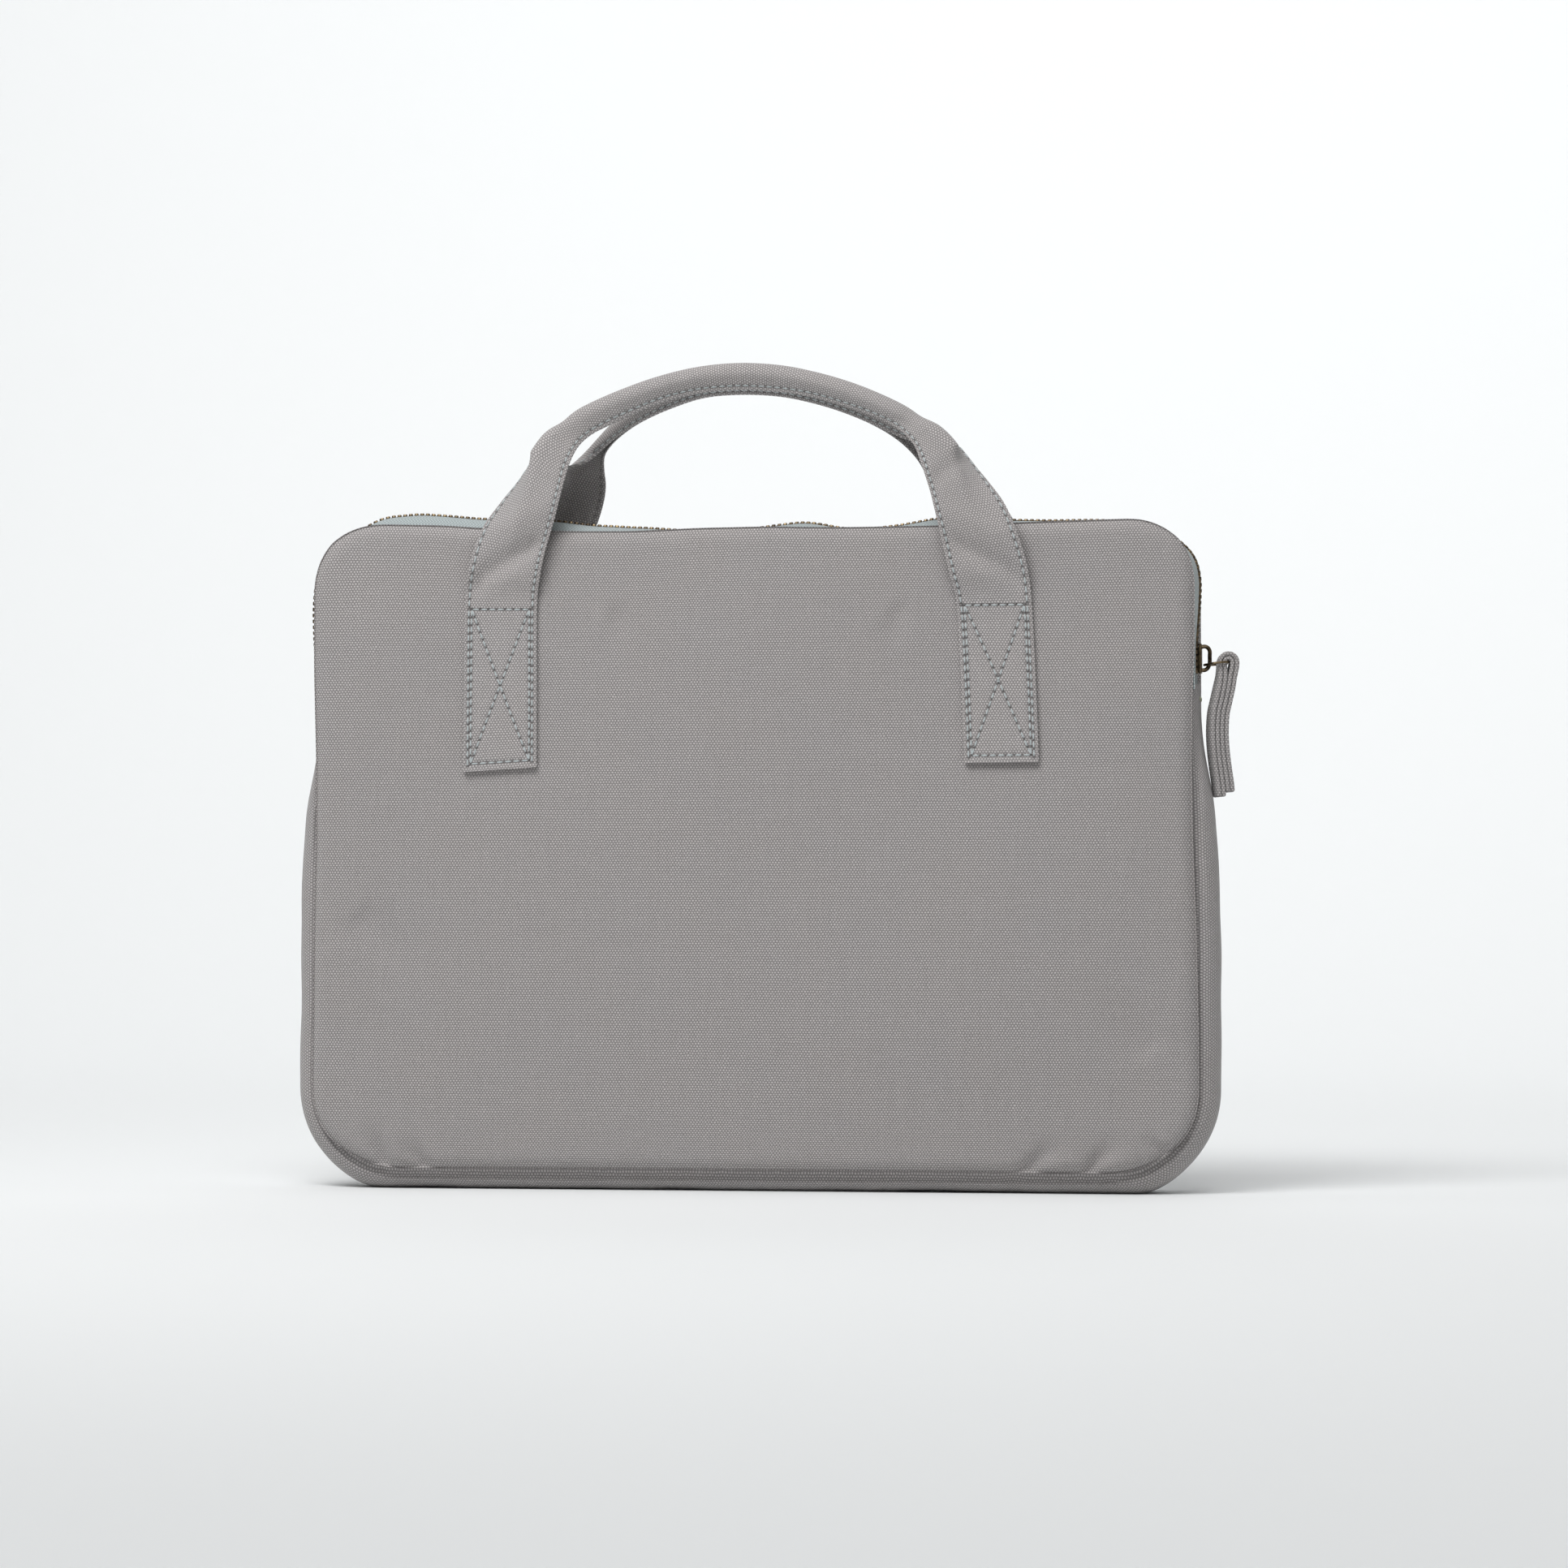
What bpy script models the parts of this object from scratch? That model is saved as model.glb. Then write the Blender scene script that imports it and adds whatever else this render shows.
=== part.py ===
"""A padded canvas laptop sleeve with two handles and a metal zip round its mouth.

Frame: +X to the right, -Y towards the front, +Z up. The origin is on the floor, in the middle of the base.
Front and back are one design: each half is built facing -Y under an empty, and the back one's empty is
turned half a turn about Z. Above the fold line a panel bends outwards as the lip of the open mouth, so
panel, tape and teeth are cut there into a fixed piece and a lip piece. A strap is cut there too: below
the line it is sewn down, above it is the free handle, which folds over its top row of stitches.
"""

import math

import bmesh
import bpy
from mathutils import Vector

MM = 0.001

# The sleeve's outline, along the seam between a panel and the gusset or zip.
HALF_WIDTH = 180 * MM
BOTTOM_SEAM = 6 * MM
TOP_SEAM = 272 * MM
BOTTOM_RADIUS = 36 * MM
TOP_RADIUS = 27 * MM
CORNER_STEPS = 7

# From the middle of the sleeve to a panel's outer face, at the floor and at the top seam.
BASE_HALF = 20 * MM
TOP_HALF = 13 * MM
LEAN = math.atan((BASE_HALF - TOP_HALF) / TOP_SEAM)

# The padded wall, from outside to inside, and the clearance between pieces that touch.
CANVAS = 0.8 * MM
FOAM = 3.6 * MM
LINING = 0.4 * MM
GAP = 0.3 * MM
WALL = CANVAS + GAP + FOAM + GAP + LINING

# The fold line, across both straps at their top row of stitches, and how far its axis stands out of them.
FOLD_Z = 239 * MM
FOLD_CLEAR = 0.5 * MM

# The gusset ends where the zip begins.
GUSSET_TOP = 210 * MM
GUSSET_SHOULDER = 0.62
BOTTOM_CROWN = BOTTOM_SEAM
SIDE_STEPS = 10

# The zip: each tape ends in a row of teeth, and the two rows meet in the middle.
TAPE = 0.6 * MM
TEETH_WIDTH = 2.4 * MM
TEETH_DEPTH = 2.6 * MM
TEETH_APART = 0.6 * MM
SIDE_TEETH_CROWN = 1.6 * MM
TOP_TEETH_CROWN = 4.7 * MM
STOP_HEIGHT = 2.4 * MM

# The straps and their stitching.
STRAP_WIDTH = 30 * MM
STRAP = 2.0 * MM
STRAP_X = 102 * MM
STRAP_BOTTOM = 174 * MM
STRAP_SPLAY = 1.5 * MM
THREAD = 0.4 * MM
STITCH_LINE = 0.8 * MM
STITCH_MARGIN = 3 * MM

# The grip: the strap folded in half along its length.
GRIP_HEIGHT = 12.5 * MM
GRIP_DEPTH = 8 * MM
HANDLE_TOP = 333.5 * MM
HANDLE_TOP_Y = -5.4 * MM
BACK_LEG_BOW = 14 * MM
SECTION_SIDES = 8

# The zip pull.
SLIDER_LENGTH = 11 * MM
SLIDER_WIDTH = 9 * MM
SLIDER_PLATE = 1.2 * MM
SLIDER_WEB = 0.6 * MM
SLIDER_BOTTOM = 212 * MM
BRIDGE_HOLE = 2.2 * MM
BRIDGE = 1.5 * MM
BRIDGE_WIDTH = 2.2 * MM
LINK_WIRE = 1.0 * MM
LINK_LENGTH = 9.4 * MM
LINK_RISE = math.radians(6)
PULL_WIDTH = 10 * MM
PULL_HALF = 3.2 * MM

COLOURS = {
    "canvas": ((0.33, 0.31, 0.30), 0.9, 0.0),
    "lining": ((0.42, 0.41, 0.40), 0.8, 0.0),
    "foam": ((0.80, 0.80, 0.78), 0.9, 0.0),
    "zip_tape": ((0.40, 0.46, 0.47), 0.9, 0.0),
    "zip_metal": ((0.28, 0.22, 0.14), 0.35, 1.0),
    "thread": ((0.50, 0.51, 0.50), 0.8, 0.0),
}


def clear_scene():
    for obj in list(bpy.data.objects):
        bpy.data.objects.remove(obj)


def material(name):
    found = bpy.data.materials.get(name)
    if found:
        return found
    colour, roughness, metallic = COLOURS[name]
    made = bpy.data.materials.new(name)
    made.use_nodes = True
    shader = made.node_tree.nodes["Principled BSDF"]
    shader.inputs["Base Color"].default_value = (*colour, 1.0)
    shader.inputs["Roughness"].default_value = roughness
    shader.inputs["Metallic"].default_value = metallic
    return made


def add(name, data, finish, parent=None):
    """Puts an object with this data in the sleeve's collection."""
    obj = bpy.data.objects.new(name, data)
    parts.objects.link(obj)
    obj.parent = parent
    data.materials.append(material(finish))
    return obj


def half_thickness(z):
    """From the middle of the sleeve to a panel's outer face at this height."""
    return BASE_HALF - z * math.tan(LEAN)


def smooth(t):
    t = min(1.0, max(0.0, t))
    return t * t * (3 - 2 * t)


def smooth_curve(points, steps):
    """A Catmull-Rom curve through the points, with this many steps between each two."""
    ends = [points[0] * 2 - points[1], *points, points[-1] * 2 - points[-2]]
    found = []
    for a, b, c, d in zip(ends, ends[1:], ends[2:], ends[3:]):
        for step in range(steps):
            t = step / steps
            found.append(
                0.5 * (b * 2 + (c - a) * t + (a * 2 - b * 5 + c * 4 - d) * t**2)
                + 0.5 * (b * 3 - a - c * 3 + d) * t**3
            )
    return [*found, points[-1]]


def hang(pivot, *pieces):
    """Puts these pieces, where they are, under the object that they turn or slide with."""
    bpy.context.view_layer.update()
    for piece in pieces:
        world = piece.matrix_world.copy()
        piece.parent = pivot
        piece.matrix_parent_inverse = pivot.matrix_world.inverted()
        piece.matrix_world = world


def empty(name, location, parent=None):
    made = bpy.data.objects.new(name, None)
    parts.objects.link(made)
    made.location = location
    made.parent = parent
    return made


# Outlines -------------------------------------------------------------------------------------------


def corner(x, z, radius, start, end):
    """Points and outward normals round one corner, as (x, z, nx, nz). Angles are in degrees."""
    for step in range(CORNER_STEPS + 1):
        angle = math.radians(start + (end - start) * step / CORNER_STEPS)
        nx, nz = math.cos(angle), math.sin(angle)
        yield x + radius * nx, z + radius * nz, nx, nz


def rim_below(top):
    """The outline from the right side at this height, down and under, to the left side at this height."""
    low = BOTTOM_SEAM + BOTTOM_RADIUS
    right = [
        (HALF_WIDTH, top + (low - top) * step / SIDE_STEPS, 1.0, 0.0)
        for step in range(SIDE_STEPS)
    ]
    right += corner(HALF_WIDTH - BOTTOM_RADIUS, low, BOTTOM_RADIUS, 0, -90)
    return right + [(-x, z, -nx, nz) for x, z, nx, nz in reversed(right)]


def rim_above(bottom):
    """The outline from the right side at this height, up and over, to the left side at this height."""
    high = TOP_SEAM - TOP_RADIUS
    right = [(HALF_WIDTH, bottom, 1.0, 0.0)]
    right += corner(HALF_WIDTH - TOP_RADIUS, high, TOP_RADIUS, 0, 90)
    return right + [(-x, z, -nx, nz) for x, z, nx, nz in reversed(right)]


def rim_side(side, bottom, top):
    """A straight stretch of the outline on the right (side 1) or left (side -1)."""
    return [(side * HALF_WIDTH, z, side, 0.0) for z in (bottom, top)]


def gusset_crown(x, z, nx, nz):
    """How far the gusset's middle stands out of the seam line."""
    side = (1.2 + 6.8 * smooth((0.188 - z) / 0.044) + 1.7 * smooth((0.150 - z) / 0.09)) * MM
    return math.hypot(side * nx, BOTTOM_CROWN * nz)


def teeth_crown(nx, nz):
    """How far the teeth stand out of the seam line."""
    return math.hypot(SIDE_TEETH_CROWN * nx, TOP_TEETH_CROWN * nz)


# Solids ---------------------------------------------------------------------------------------------


def skin(name, rings, finish, parent=None):
    """A closed solid through rings of points, with a flat face at each end."""
    mesh = bpy.data.meshes.new(name)
    shape = bmesh.new()
    rows = [[shape.verts.new(point) for point in ring] for ring in rings]
    for low, high in zip(rows, rows[1:]):
        for i in range(len(low)):
            j = (i + 1) % len(low)
            shape.faces.new((low[i], low[j], high[j], high[i]))
    shape.faces.new(rows[0])
    shape.faces.new(rows[-1])
    bmesh.ops.recalc_face_normals(shape, faces=shape.faces)
    bmesh.ops.triangulate(shape, faces=shape.faces, quad_method="SHORT_EDGE")
    shape.to_mesh(mesh)
    shape.free()
    return add(name, mesh, finish, parent)


def sweep(name, rim, section, finish, parent=None):
    """A strip along the outline. section gives corners as (y from the half thickness, height over the rim)."""
    rings = []
    for x, z, nx, nz in rim:
        ring = []
        for y_of, height in section(x, z, nx, nz):
            point_z = z + nz * height
            ring.append((x + nx * height, y_of(half_thickness(point_z)), point_z))
        rings.append(ring)
    return skin(name, rings, finish, parent)


def flat_curve(name, outlines, thickness):
    """Curve data for flat closed outlines, the first the outer one, with half the thickness each way."""
    data = bpy.data.curves.new(name, "CURVE")
    data.dimensions = "2D"
    data.fill_mode = "BOTH"
    data.extrude = thickness / 2
    for outline in outlines:
        spline = data.splines.new("POLY")
        spline.points.add(len(outline) - 1)
        for point, (x, y) in zip(spline.points, outline):
            point.co = (x, y, 0, 1)
        spline.use_cyclic_u = True
    return data


def plate(name, outlines, depth, thickness, finish, parent):
    """A flat layer of the leaning wall. depth is from the panel's outer face in; outlines are in x and z."""
    upright = [[(x, z / math.cos(LEAN)) for x, z in outline] for outline in outlines]
    obj = add(name, flat_curve(name, upright, thickness), finish, parent)
    obj.rotation_euler.x = math.pi / 2 - LEAN
    inwards = Vector((0, math.cos(LEAN), -math.sin(LEAN)))
    obj.location = Vector((0, -BASE_HALF, 0)) + inwards * (depth + thickness / 2)
    return obj


def as_mesh(obj):
    """The same object with its curve made a closed mesh."""
    bpy.context.view_layer.update()
    graph = bpy.context.evaluated_depsgraph_get()
    mesh = bpy.data.meshes.new_from_object(obj.evaluated_get(graph))
    shape = bmesh.new()
    shape.from_mesh(mesh)
    bmesh.ops.remove_doubles(shape, verts=shape.verts, dist=0.001 * MM)
    shape.to_mesh(mesh)
    shape.free()
    made = bpy.data.objects.new(obj.name, mesh)
    made.matrix_world = obj.matrix_world
    name = obj.name
    bpy.data.objects.remove(obj)
    made.name = name
    return made


# The gusset -----------------------------------------------------------------------------------------


def gusset_layer(name, depth, thickness, finish):
    """One layer of the strip round the sides and base, arched outwards between the two panels."""

    def section(*rim):
        crown = gusset_crown(*rim)
        outer = [(-1.0, 0.0), (-GUSSET_SHOULDER, crown), (GUSSET_SHOULDER, crown), (1.0, 0.0)]
        inner = [(y, height - thickness) for y, height in reversed(outer)]
        return [
            (lambda half, y=y: y * (half - CANVAS - GAP), height - depth)
            for y, height in outer + inner
        ]

    return sweep(name, rim_below(GUSSET_TOP - GAP), section, finish)


def gusset():
    gusset_layer("gusset_canvas", 0, CANVAS, "canvas")
    gusset_layer("gusset_foam", CANVAS + GAP, FOAM, "foam")
    gusset_layer("gusset_lining", CANVAS + FOAM + 2 * GAP, LINING, "lining")


def bar_tack(name, side):
    """The short thick stitch that closes the gusset's end over the zip."""
    z = GUSSET_TOP - 10 * MM
    x = side * (HALF_WIDTH + gusset_crown(HALF_WIDTH, z, 1, 0) + GAP + THREAD / 2)
    bpy.ops.mesh.primitive_cube_add(size=1, location=(x, 0, z))
    obj = bpy.context.object
    obj.name = name
    obj.scale = (THREAD, 12 * MM, 1.2 * MM)
    bpy.ops.object.transform_apply(location=False)
    bpy.context.collection.objects.unlink(obj)
    parts.objects.link(obj)
    obj.data.materials.append(material("thread"))


# A panel and its lip --------------------------------------------------------------------------------


def panel_outline(inset, lip):
    """The outline of one layer of a panel, below the fold line, or above it for the lip."""
    end = FOLD_Z + GAP if lip else FOLD_Z - GAP
    rim = rim_above(end) if lip else rim_below(end)
    return [(x - nx * inset, max(z - nz * inset, end) if lip else z - nz * inset) for x, z, nx, nz in rim]


def panel(side, parent):
    """The three layers of one panel, each with a lip above the fold line."""
    inset = WALL + GAP
    layers = (
        ("canvas", 0, CANVAS, 0, "canvas"),
        ("foam", CANVAS + GAP, FOAM, inset, "foam"),
        ("lining", CANVAS + GAP + FOAM + GAP, LINING, inset, "lining"),
    )
    for layer, depth, thickness, edge, finish in layers:
        for lip, piece in ((False, "panel"), (True, "lip")):
            name = f"{side}_{piece}_{layer}"
            plate(name, [panel_outline(edge, lip)], depth, thickness, finish, parent)


def seam_binding(side, parent):
    """The tape that binds the raw edges of the seam, flat on the lining inside."""
    depth, thickness, width = WALL + GAP, 1.2 * MM, 6 * MM

    def section(*rim):
        return [
            (lambda half: depth - half, -WALL - GAP),
            (lambda half: depth + thickness - half, -WALL - GAP),
            (lambda half: depth + thickness - half, -WALL - GAP - width),
            (lambda half: depth - half, -WALL - GAP - width),
        ]

    sweep(f"{side}_seam_binding", rim_below(GUSSET_TOP - GAP), section, "lining", parent)


# The zip --------------------------------------------------------------------------------------------


def tape_section(x, z, nx, nz):
    """From the panel's edge up to the teeth."""
    middle = teeth_crown(nx, nz) - TEETH_DEPTH / 2
    edge = TEETH_APART + TEETH_WIDTH + GAP
    return [
        (lambda half: CANVAS + GAP - half, 0.0),
        (lambda half: -edge, middle + TAPE / 2),
        (lambda half: -edge, middle - TAPE / 2),
        (lambda half: CANVAS + GAP - half, -TAPE),
    ]


def teeth_section(x, z, nx, nz):
    """The envelope of one row of teeth."""
    high = teeth_crown(nx, nz)
    low = high - TEETH_DEPTH
    near, far = -TEETH_APART, -TEETH_APART - TEETH_WIDTH
    return [
        (lambda half: far, high),
        (lambda half: near, high),
        (lambda half: near, low),
        (lambda half: far, low),
    ]


def zip_half(side, turned, parent):
    """One tape and its row of teeth: a lip piece, and a fixed end on each side below the fold line."""
    sweep(f"{side}_lip_tape", rim_above(FOLD_Z + GAP), tape_section, "zip_tape", parent)
    sweep(f"{side}_lip_teeth", rim_above(FOLD_Z + GAP), teeth_section, "zip_metal", parent)
    for x_side in (-1, 1):
        end = "right" if x_side * turned > 0 else "left"
        tape_rim = rim_side(x_side, GUSSET_TOP, FOLD_Z - GAP)
        sweep(f"{side}_tape_{end}_end", tape_rim, tape_section, "zip_tape", parent)
        teeth_rim = rim_side(x_side, GUSSET_TOP + STOP_HEIGHT + 2 * GAP, FOLD_Z - GAP)
        sweep(f"{side}_teeth_{end}_end", teeth_rim, teeth_section, "zip_metal", parent)


def zip_stop(name, side, near, far):
    """A metal clip at one end of the teeth, from near to far across the sleeve."""
    rings = []
    for _, z, _, _ in rim_side(side, GUSSET_TOP + GAP, GUSSET_TOP + GAP + STOP_HEIGHT):
        low = side * (HALF_WIDTH + SIDE_TEETH_CROWN - TEETH_DEPTH)
        high = side * (HALF_WIDTH + SIDE_TEETH_CROWN)
        rings.append([(low, near, z), (high, near, z), (high, far, z), (low, far, z)])
    skin(name, rings, "zip_metal")


def zip_stops():
    outer = TEETH_APART + TEETH_WIDTH
    zip_stop("zip_bottom_stop", -1, -outer, outer)
    zip_stop("zip_top_stop_front", 1, -outer, -TEETH_APART)
    zip_stop("zip_top_stop_back", 1, TEETH_APART, outer)


# The straps -----------------------------------------------------------------------------------------


def splayed(x_side, points):
    """Points of a sewn strap end, given from its middle at the fold line: its foot stands further out."""
    length = FOLD_Z - STRAP_BOTTOM
    return [
        (x_side * (STRAP_X + x + STRAP_SPLAY * (FOLD_Z - z) / length), z) for x, z in points
    ]


def rectangle(half_width, low, high):
    return [(-half_width, low), (half_width, low), (half_width, high), (-half_width, high)]


def box_stitch_outlines():
    """A sewn box with its two diagonals: the outer rectangle, and the four triangles left open inside."""
    half_width = STRAP_WIDTH / 2 - STITCH_MARGIN
    low, high = STRAP_BOTTOM + STITCH_MARGIN, FOLD_Z - 1.5 * MM
    middle = (low + high) / 2
    a, b = half_width - STITCH_LINE, (high - low) / 2 - STITCH_LINE
    diagonal = math.hypot(a, b)
    from_side, from_end = STITCH_LINE / 2 * diagonal / b, STITCH_LINE / 2 * diagonal / a
    end_hole = [(from_side - a, b), (a - from_side, b), (0, from_end)]
    side_hole = [(a, b - from_end), (a, from_end - b), (from_side, 0)]
    holes = [[(x * s, z * s + middle) for x, z in hole] for hole in (end_hole, side_hole) for s in (1, -1)]
    return [rectangle(half_width, low, high), *holes]


def strap_ends(side, turned, parent):
    """The two flat ends of one strap, sewn to the panel, with their box stitches."""
    for x_side in (-1, 1):
        end = "right" if x_side * turned > 0 else "left"
        outline = splayed(x_side, rectangle(STRAP_WIDTH / 2, STRAP_BOTTOM, FOLD_Z - GAP))
        plate(f"{side}_strap_{end}_end", [outline], -GAP - STRAP, STRAP, "canvas", parent)
        stitches = [splayed(x_side, points) for points in box_stitch_outlines()]
        lift = -GAP - STRAP - GAP - THREAD
        plate(f"{side}_box_stitch_{end}", stitches, lift, THREAD, "thread", parent)


def handle_stations():
    """Centre, width, depth and roundness of the handle's sections, from the left fold line to the top."""
    start_y = -half_thickness(FOLD_Z) - GAP - STRAP / 2
    low = [
        (Vector((-STRAP_X, start_y, FOLD_Z + GAP)), STRAP_WIDTH, STRAP, 0.0),
        (Vector((-0.0993, start_y + 0.3 * MM, 0.2550)), STRAP_WIDTH, STRAP, 0.0),
        (Vector((-0.0935, start_y + 0.6 * MM, 0.2750)), 0.0290, STRAP, 0.0),
        (Vector((-0.0885, start_y + 1.6 * MM, 0.2860)), 0.0250, 0.0040, 0.3),
        (Vector((-0.0835, start_y + 3.0 * MM, 0.2950)), 0.0205, 0.0062, 0.6),
        (Vector((-0.0785, start_y + 4.6 * MM, 0.3030)), 0.0160, 0.0075, 0.9),
        (Vector((-0.0715, start_y + 6.0 * MM, 0.3100)), GRIP_HEIGHT, GRIP_DEPTH, 1.0),
    ]
    arch = [
        (Vector((x, y * MM, z)), GRIP_HEIGHT, GRIP_DEPTH, 1.0)
        for x, y, z in (
            (-0.0600, -8.0, 0.3180),
            (-0.0450, -7.0, 0.3250),
            (-0.0300, -6.2, 0.3298),
            (-0.0150, -5.6, 0.3326),
        )
    ]
    return [*low, *arch, (Vector((0, HANDLE_TOP_Y, HANDLE_TOP)), GRIP_HEIGHT, GRIP_DEPTH, 1.0)]


def handle(side, parent, bow):
    """The free part of a strap: flat legs that fold lengthwise into a round grip. One leg may bow inwards."""
    left = handle_stations()
    right = []
    for centre, width, depth, roundness in reversed(left[:-1]):
        share = min(1.0, (centre.z - FOLD_Z) / (0.318 - FOLD_Z))
        inwards = bow * math.sin(math.pi * share)
        right.append((Vector((-centre.x - inwards, centre.y, centre.z)), width, depth, roundness))
    stations = left + right
    rings = []
    for i, (centre, width, depth, roundness) in enumerate(stations):
        before = stations[max(i - 1, 0)][0]
        after = stations[min(i + 1, len(stations) - 1)][0]
        along = (after - before).normalized()
        if i in (0, len(stations) - 1):
            along = Vector((0, 0, 1 if i == 0 else -1))
        across = Vector((0, 1, 0)).cross(along).normalized()
        ring = []
        for corner_index in range(SECTION_SIDES):
            angle = math.radians(22.5 + 360 / SECTION_SIDES * corner_index)
            round_x, round_y = math.cos(angle), math.sin(angle)
            flat_x = math.copysign(1.0 if abs(round_x) > 0.5 else 0.5, round_x)
            flat_y = math.copysign(1.0, round_y)
            x = (flat_x + (round_x - flat_x) * roundness) * width / 2
            y = (flat_y + (round_y - flat_y) * roundness) * depth / 2
            ring.append(centre + across * x + Vector((0, y, 0)))
        rings.append(ring)
    skin(f"{side}_handle", rings, "canvas", parent)


# The zip pull ---------------------------------------------------------------------------------------


def slider():
    """Two plates with the teeth between them, held apart by a web, and a bridge over the outer plate."""
    inner = HALF_WIDTH + SIDE_TEETH_CROWN - TEETH_DEPTH - GAP
    outer = HALF_WIDTH + SIDE_TEETH_CROWN + GAP
    half, web = SLIDER_WIDTH / 2, SLIDER_WEB / 2
    left, right = inner - SLIDER_PLATE, outer + SLIDER_PLATE
    profile = [(left, -half), (inner, -half), (inner, -web), (outer, -web), (outer, -half), (right, -half)]
    profile += [(x, -y) for x, y in reversed(profile)]
    body = add("slider_body", flat_curve("slider_body", [profile], SLIDER_LENGTH), "zip_metal")
    body.location.z = SLIDER_BOTTOM + SLIDER_LENGTH / 2
    low, high = SLIDER_BOTTOM + 1 * MM, SLIDER_BOTTOM + SLIDER_LENGTH - 1 * MM
    reach, foot = right + BRIDGE_HOLE + BRIDGE, right - SLIDER_PLATE / 2
    arch = [(foot, low), (reach - 2 * MM, low), (reach, low + 2 * MM), (reach, high - 2 * MM)]
    arch += [(reach - 2 * MM, high), (foot, high)]
    hole_low, hole_high = low + 1.6 * MM, high - 1.6 * MM
    hole = [(right, hole_low), (right + BRIDGE_HOLE, hole_low), (right + BRIDGE_HOLE, hole_high)]
    hole += [(right, hole_high)]
    bridge = add("bridge", flat_curve("bridge", [arch, hole], BRIDGE_WIDTH), "zip_metal")
    bridge.rotation_euler.x = math.pi / 2
    metal = material("zip_metal")
    joined = as_mesh(body)
    parts.objects.link(joined)
    joined.data.materials.clear()
    joined.data.materials.append(metal)
    joiner = as_mesh(bridge)
    cutters.objects.link(joiner)
    joiner.hide_render = True
    joiner.display_type = "WIRE"
    union = joined.modifiers.new("bridge", "BOOLEAN")
    union.operation = "UNION"
    union.object = joiner
    return joined, Vector((right + BRIDGE_HOLE / 2, 0, hole_low + LINK_WIRE / 2 + GAP))


def pull_link(pivot):
    """A closed wire loop, narrow in the bridge and wide where it holds the fabric pull."""
    half = PULL_WIDTH / 2 + GAP + 0.6 * MM
    route = [(0.0, 1.3 * MM), (0.7 * MM, 2.2 * MM), (3.4 * MM, half), (LINK_LENGTH - 0.8 * MM, half)]
    route += [(LINK_LENGTH, half - 0.8 * MM)]
    loop = route + [(u, -v) for u, v in reversed(route)]
    data = bpy.data.curves.new("pull_link", "CURVE")
    data.dimensions = "3D"
    data.bevel_depth = LINK_WIRE / 2
    data.bevel_resolution = 2
    spline = data.splines.new("POLY")
    spline.points.add(len(loop) - 1)
    for point, (u, v) in zip(spline.points, loop):
        point.co = (u, v, 0, 1)
    spline.use_cyclic_u = True
    obj = add("pull_link", data, "zip_metal")
    obj.location = pivot
    obj.rotation_euler.y = -LINK_RISE
    return obj, pivot + Vector((math.cos(LINK_RISE), 0, math.sin(LINK_RISE))) * LINK_LENGTH



def fabric_pull(pivot):
    """The strip folded over the link's far bar and sewn to itself, hanging in a slight S."""
    drops = [(0, 0), (-1.3, 9), (-3.5, 20), (-4.3, 31), (-3.6, 43), (-1.8, 56)]
    line = smooth_curve([Vector((x * MM, -down * MM)) for x, down in drops], 4)
    across = []
    for i, point in enumerate(line):
        along = (line[min(i + 1, len(line) - 1)] - line[max(i - 1, 0)]).normalized()
        share = i / (len(line) - 1)
        half = PULL_HALF * (1 - 0.12 * smooth((share - 0.6) / 0.4))
        across.append((point, Vector((-along.y, along.x)) * half))
    right = [point + offset for point, offset in across[1:]]
    left = [point - offset for point, offset in across[1:]]
    turn = [
        Vector((math.cos(a), math.sin(a))) * PULL_HALF
        for a in (math.radians(180 - 30 * step) for step in range(1, 6))
    ]
    hole_radius = LINK_WIRE / 2 + GAP + 0.3 * MM
    hole = [
        (hole_radius * math.cos(math.pi / 4 * k), hole_radius * math.sin(math.pi / 4 * k)) for k in range(8)
    ]
    outline = [(p.x, p.y) for p in [*turn, *right, *reversed(left)]]
    obj = add("fabric_pull", flat_curve("fabric_pull", [outline, hole], PULL_WIDTH), "canvas")
    obj.rotation_euler.x = math.pi / 2
    obj.location = pivot
    return obj


clear_scene()
parts = bpy.data.collections.new("laptop_sleeve")
cutters = bpy.data.collections.new("joined_shapes")
for made_collection in (parts, cutters):
    bpy.context.scene.collection.children.link(made_collection)

gusset()
bar_tack("bar_tack_left", -1)
bar_tack("bar_tack_right", 1)
zip_stops()

fold_y = half_thickness(FOLD_Z) + GAP + STRAP + FOLD_CLEAR
for half_name, facing in (("front", 1), ("back", -1)):
    half_empty = empty(f"{half_name}_half", (0, 0, 0))
    half_empty.rotation_euler.z = 0.0 if facing > 0 else math.pi
    panel(half_name, half_empty)
    seam_binding(half_name, half_empty)
    zip_half(half_name, facing, half_empty)
    strap_ends(half_name, facing, half_empty)
    handle(half_name, half_empty, 0.0 if facing > 0 else BACK_LEG_BOW)
    lip_fold = empty(f"{half_name}_lip_fold", (0, -fold_y, FOLD_Z), half_empty)
    handle_fold = empty(f"{half_name}_handle_fold", (0, 0, 0), lip_fold)
    lip = [piece for piece in parts.objects if piece.name.startswith(f"{half_name}_lip_") and piece.data]
    hang(lip_fold, *lip)
    hang(handle_fold, bpy.data.objects[f"{half_name}_handle"])

zip_slider, bridge_middle = slider()
wire, far_bar = pull_link(bridge_middle)
hang(wire, fabric_pull(far_bar))
hang(zip_slider, wire)
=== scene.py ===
# %% [markdown]
# # A padded canvas laptop sleeve
#
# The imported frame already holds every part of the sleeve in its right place, but as plain solids. This
# notebook makes each one again as what it is: padded canvas, zip tape, brass teeth, straps and thread.
# Soft pieces are cut flat, as cloth is, and then bent into place by one function for each surface. So a
# row of stitches that is laid out flat lands exactly on the cloth that it sews.
#
# Units are metres, +X is to the right, -Y is towards the front and +Z is up.

# %% The frame
import math

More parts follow.
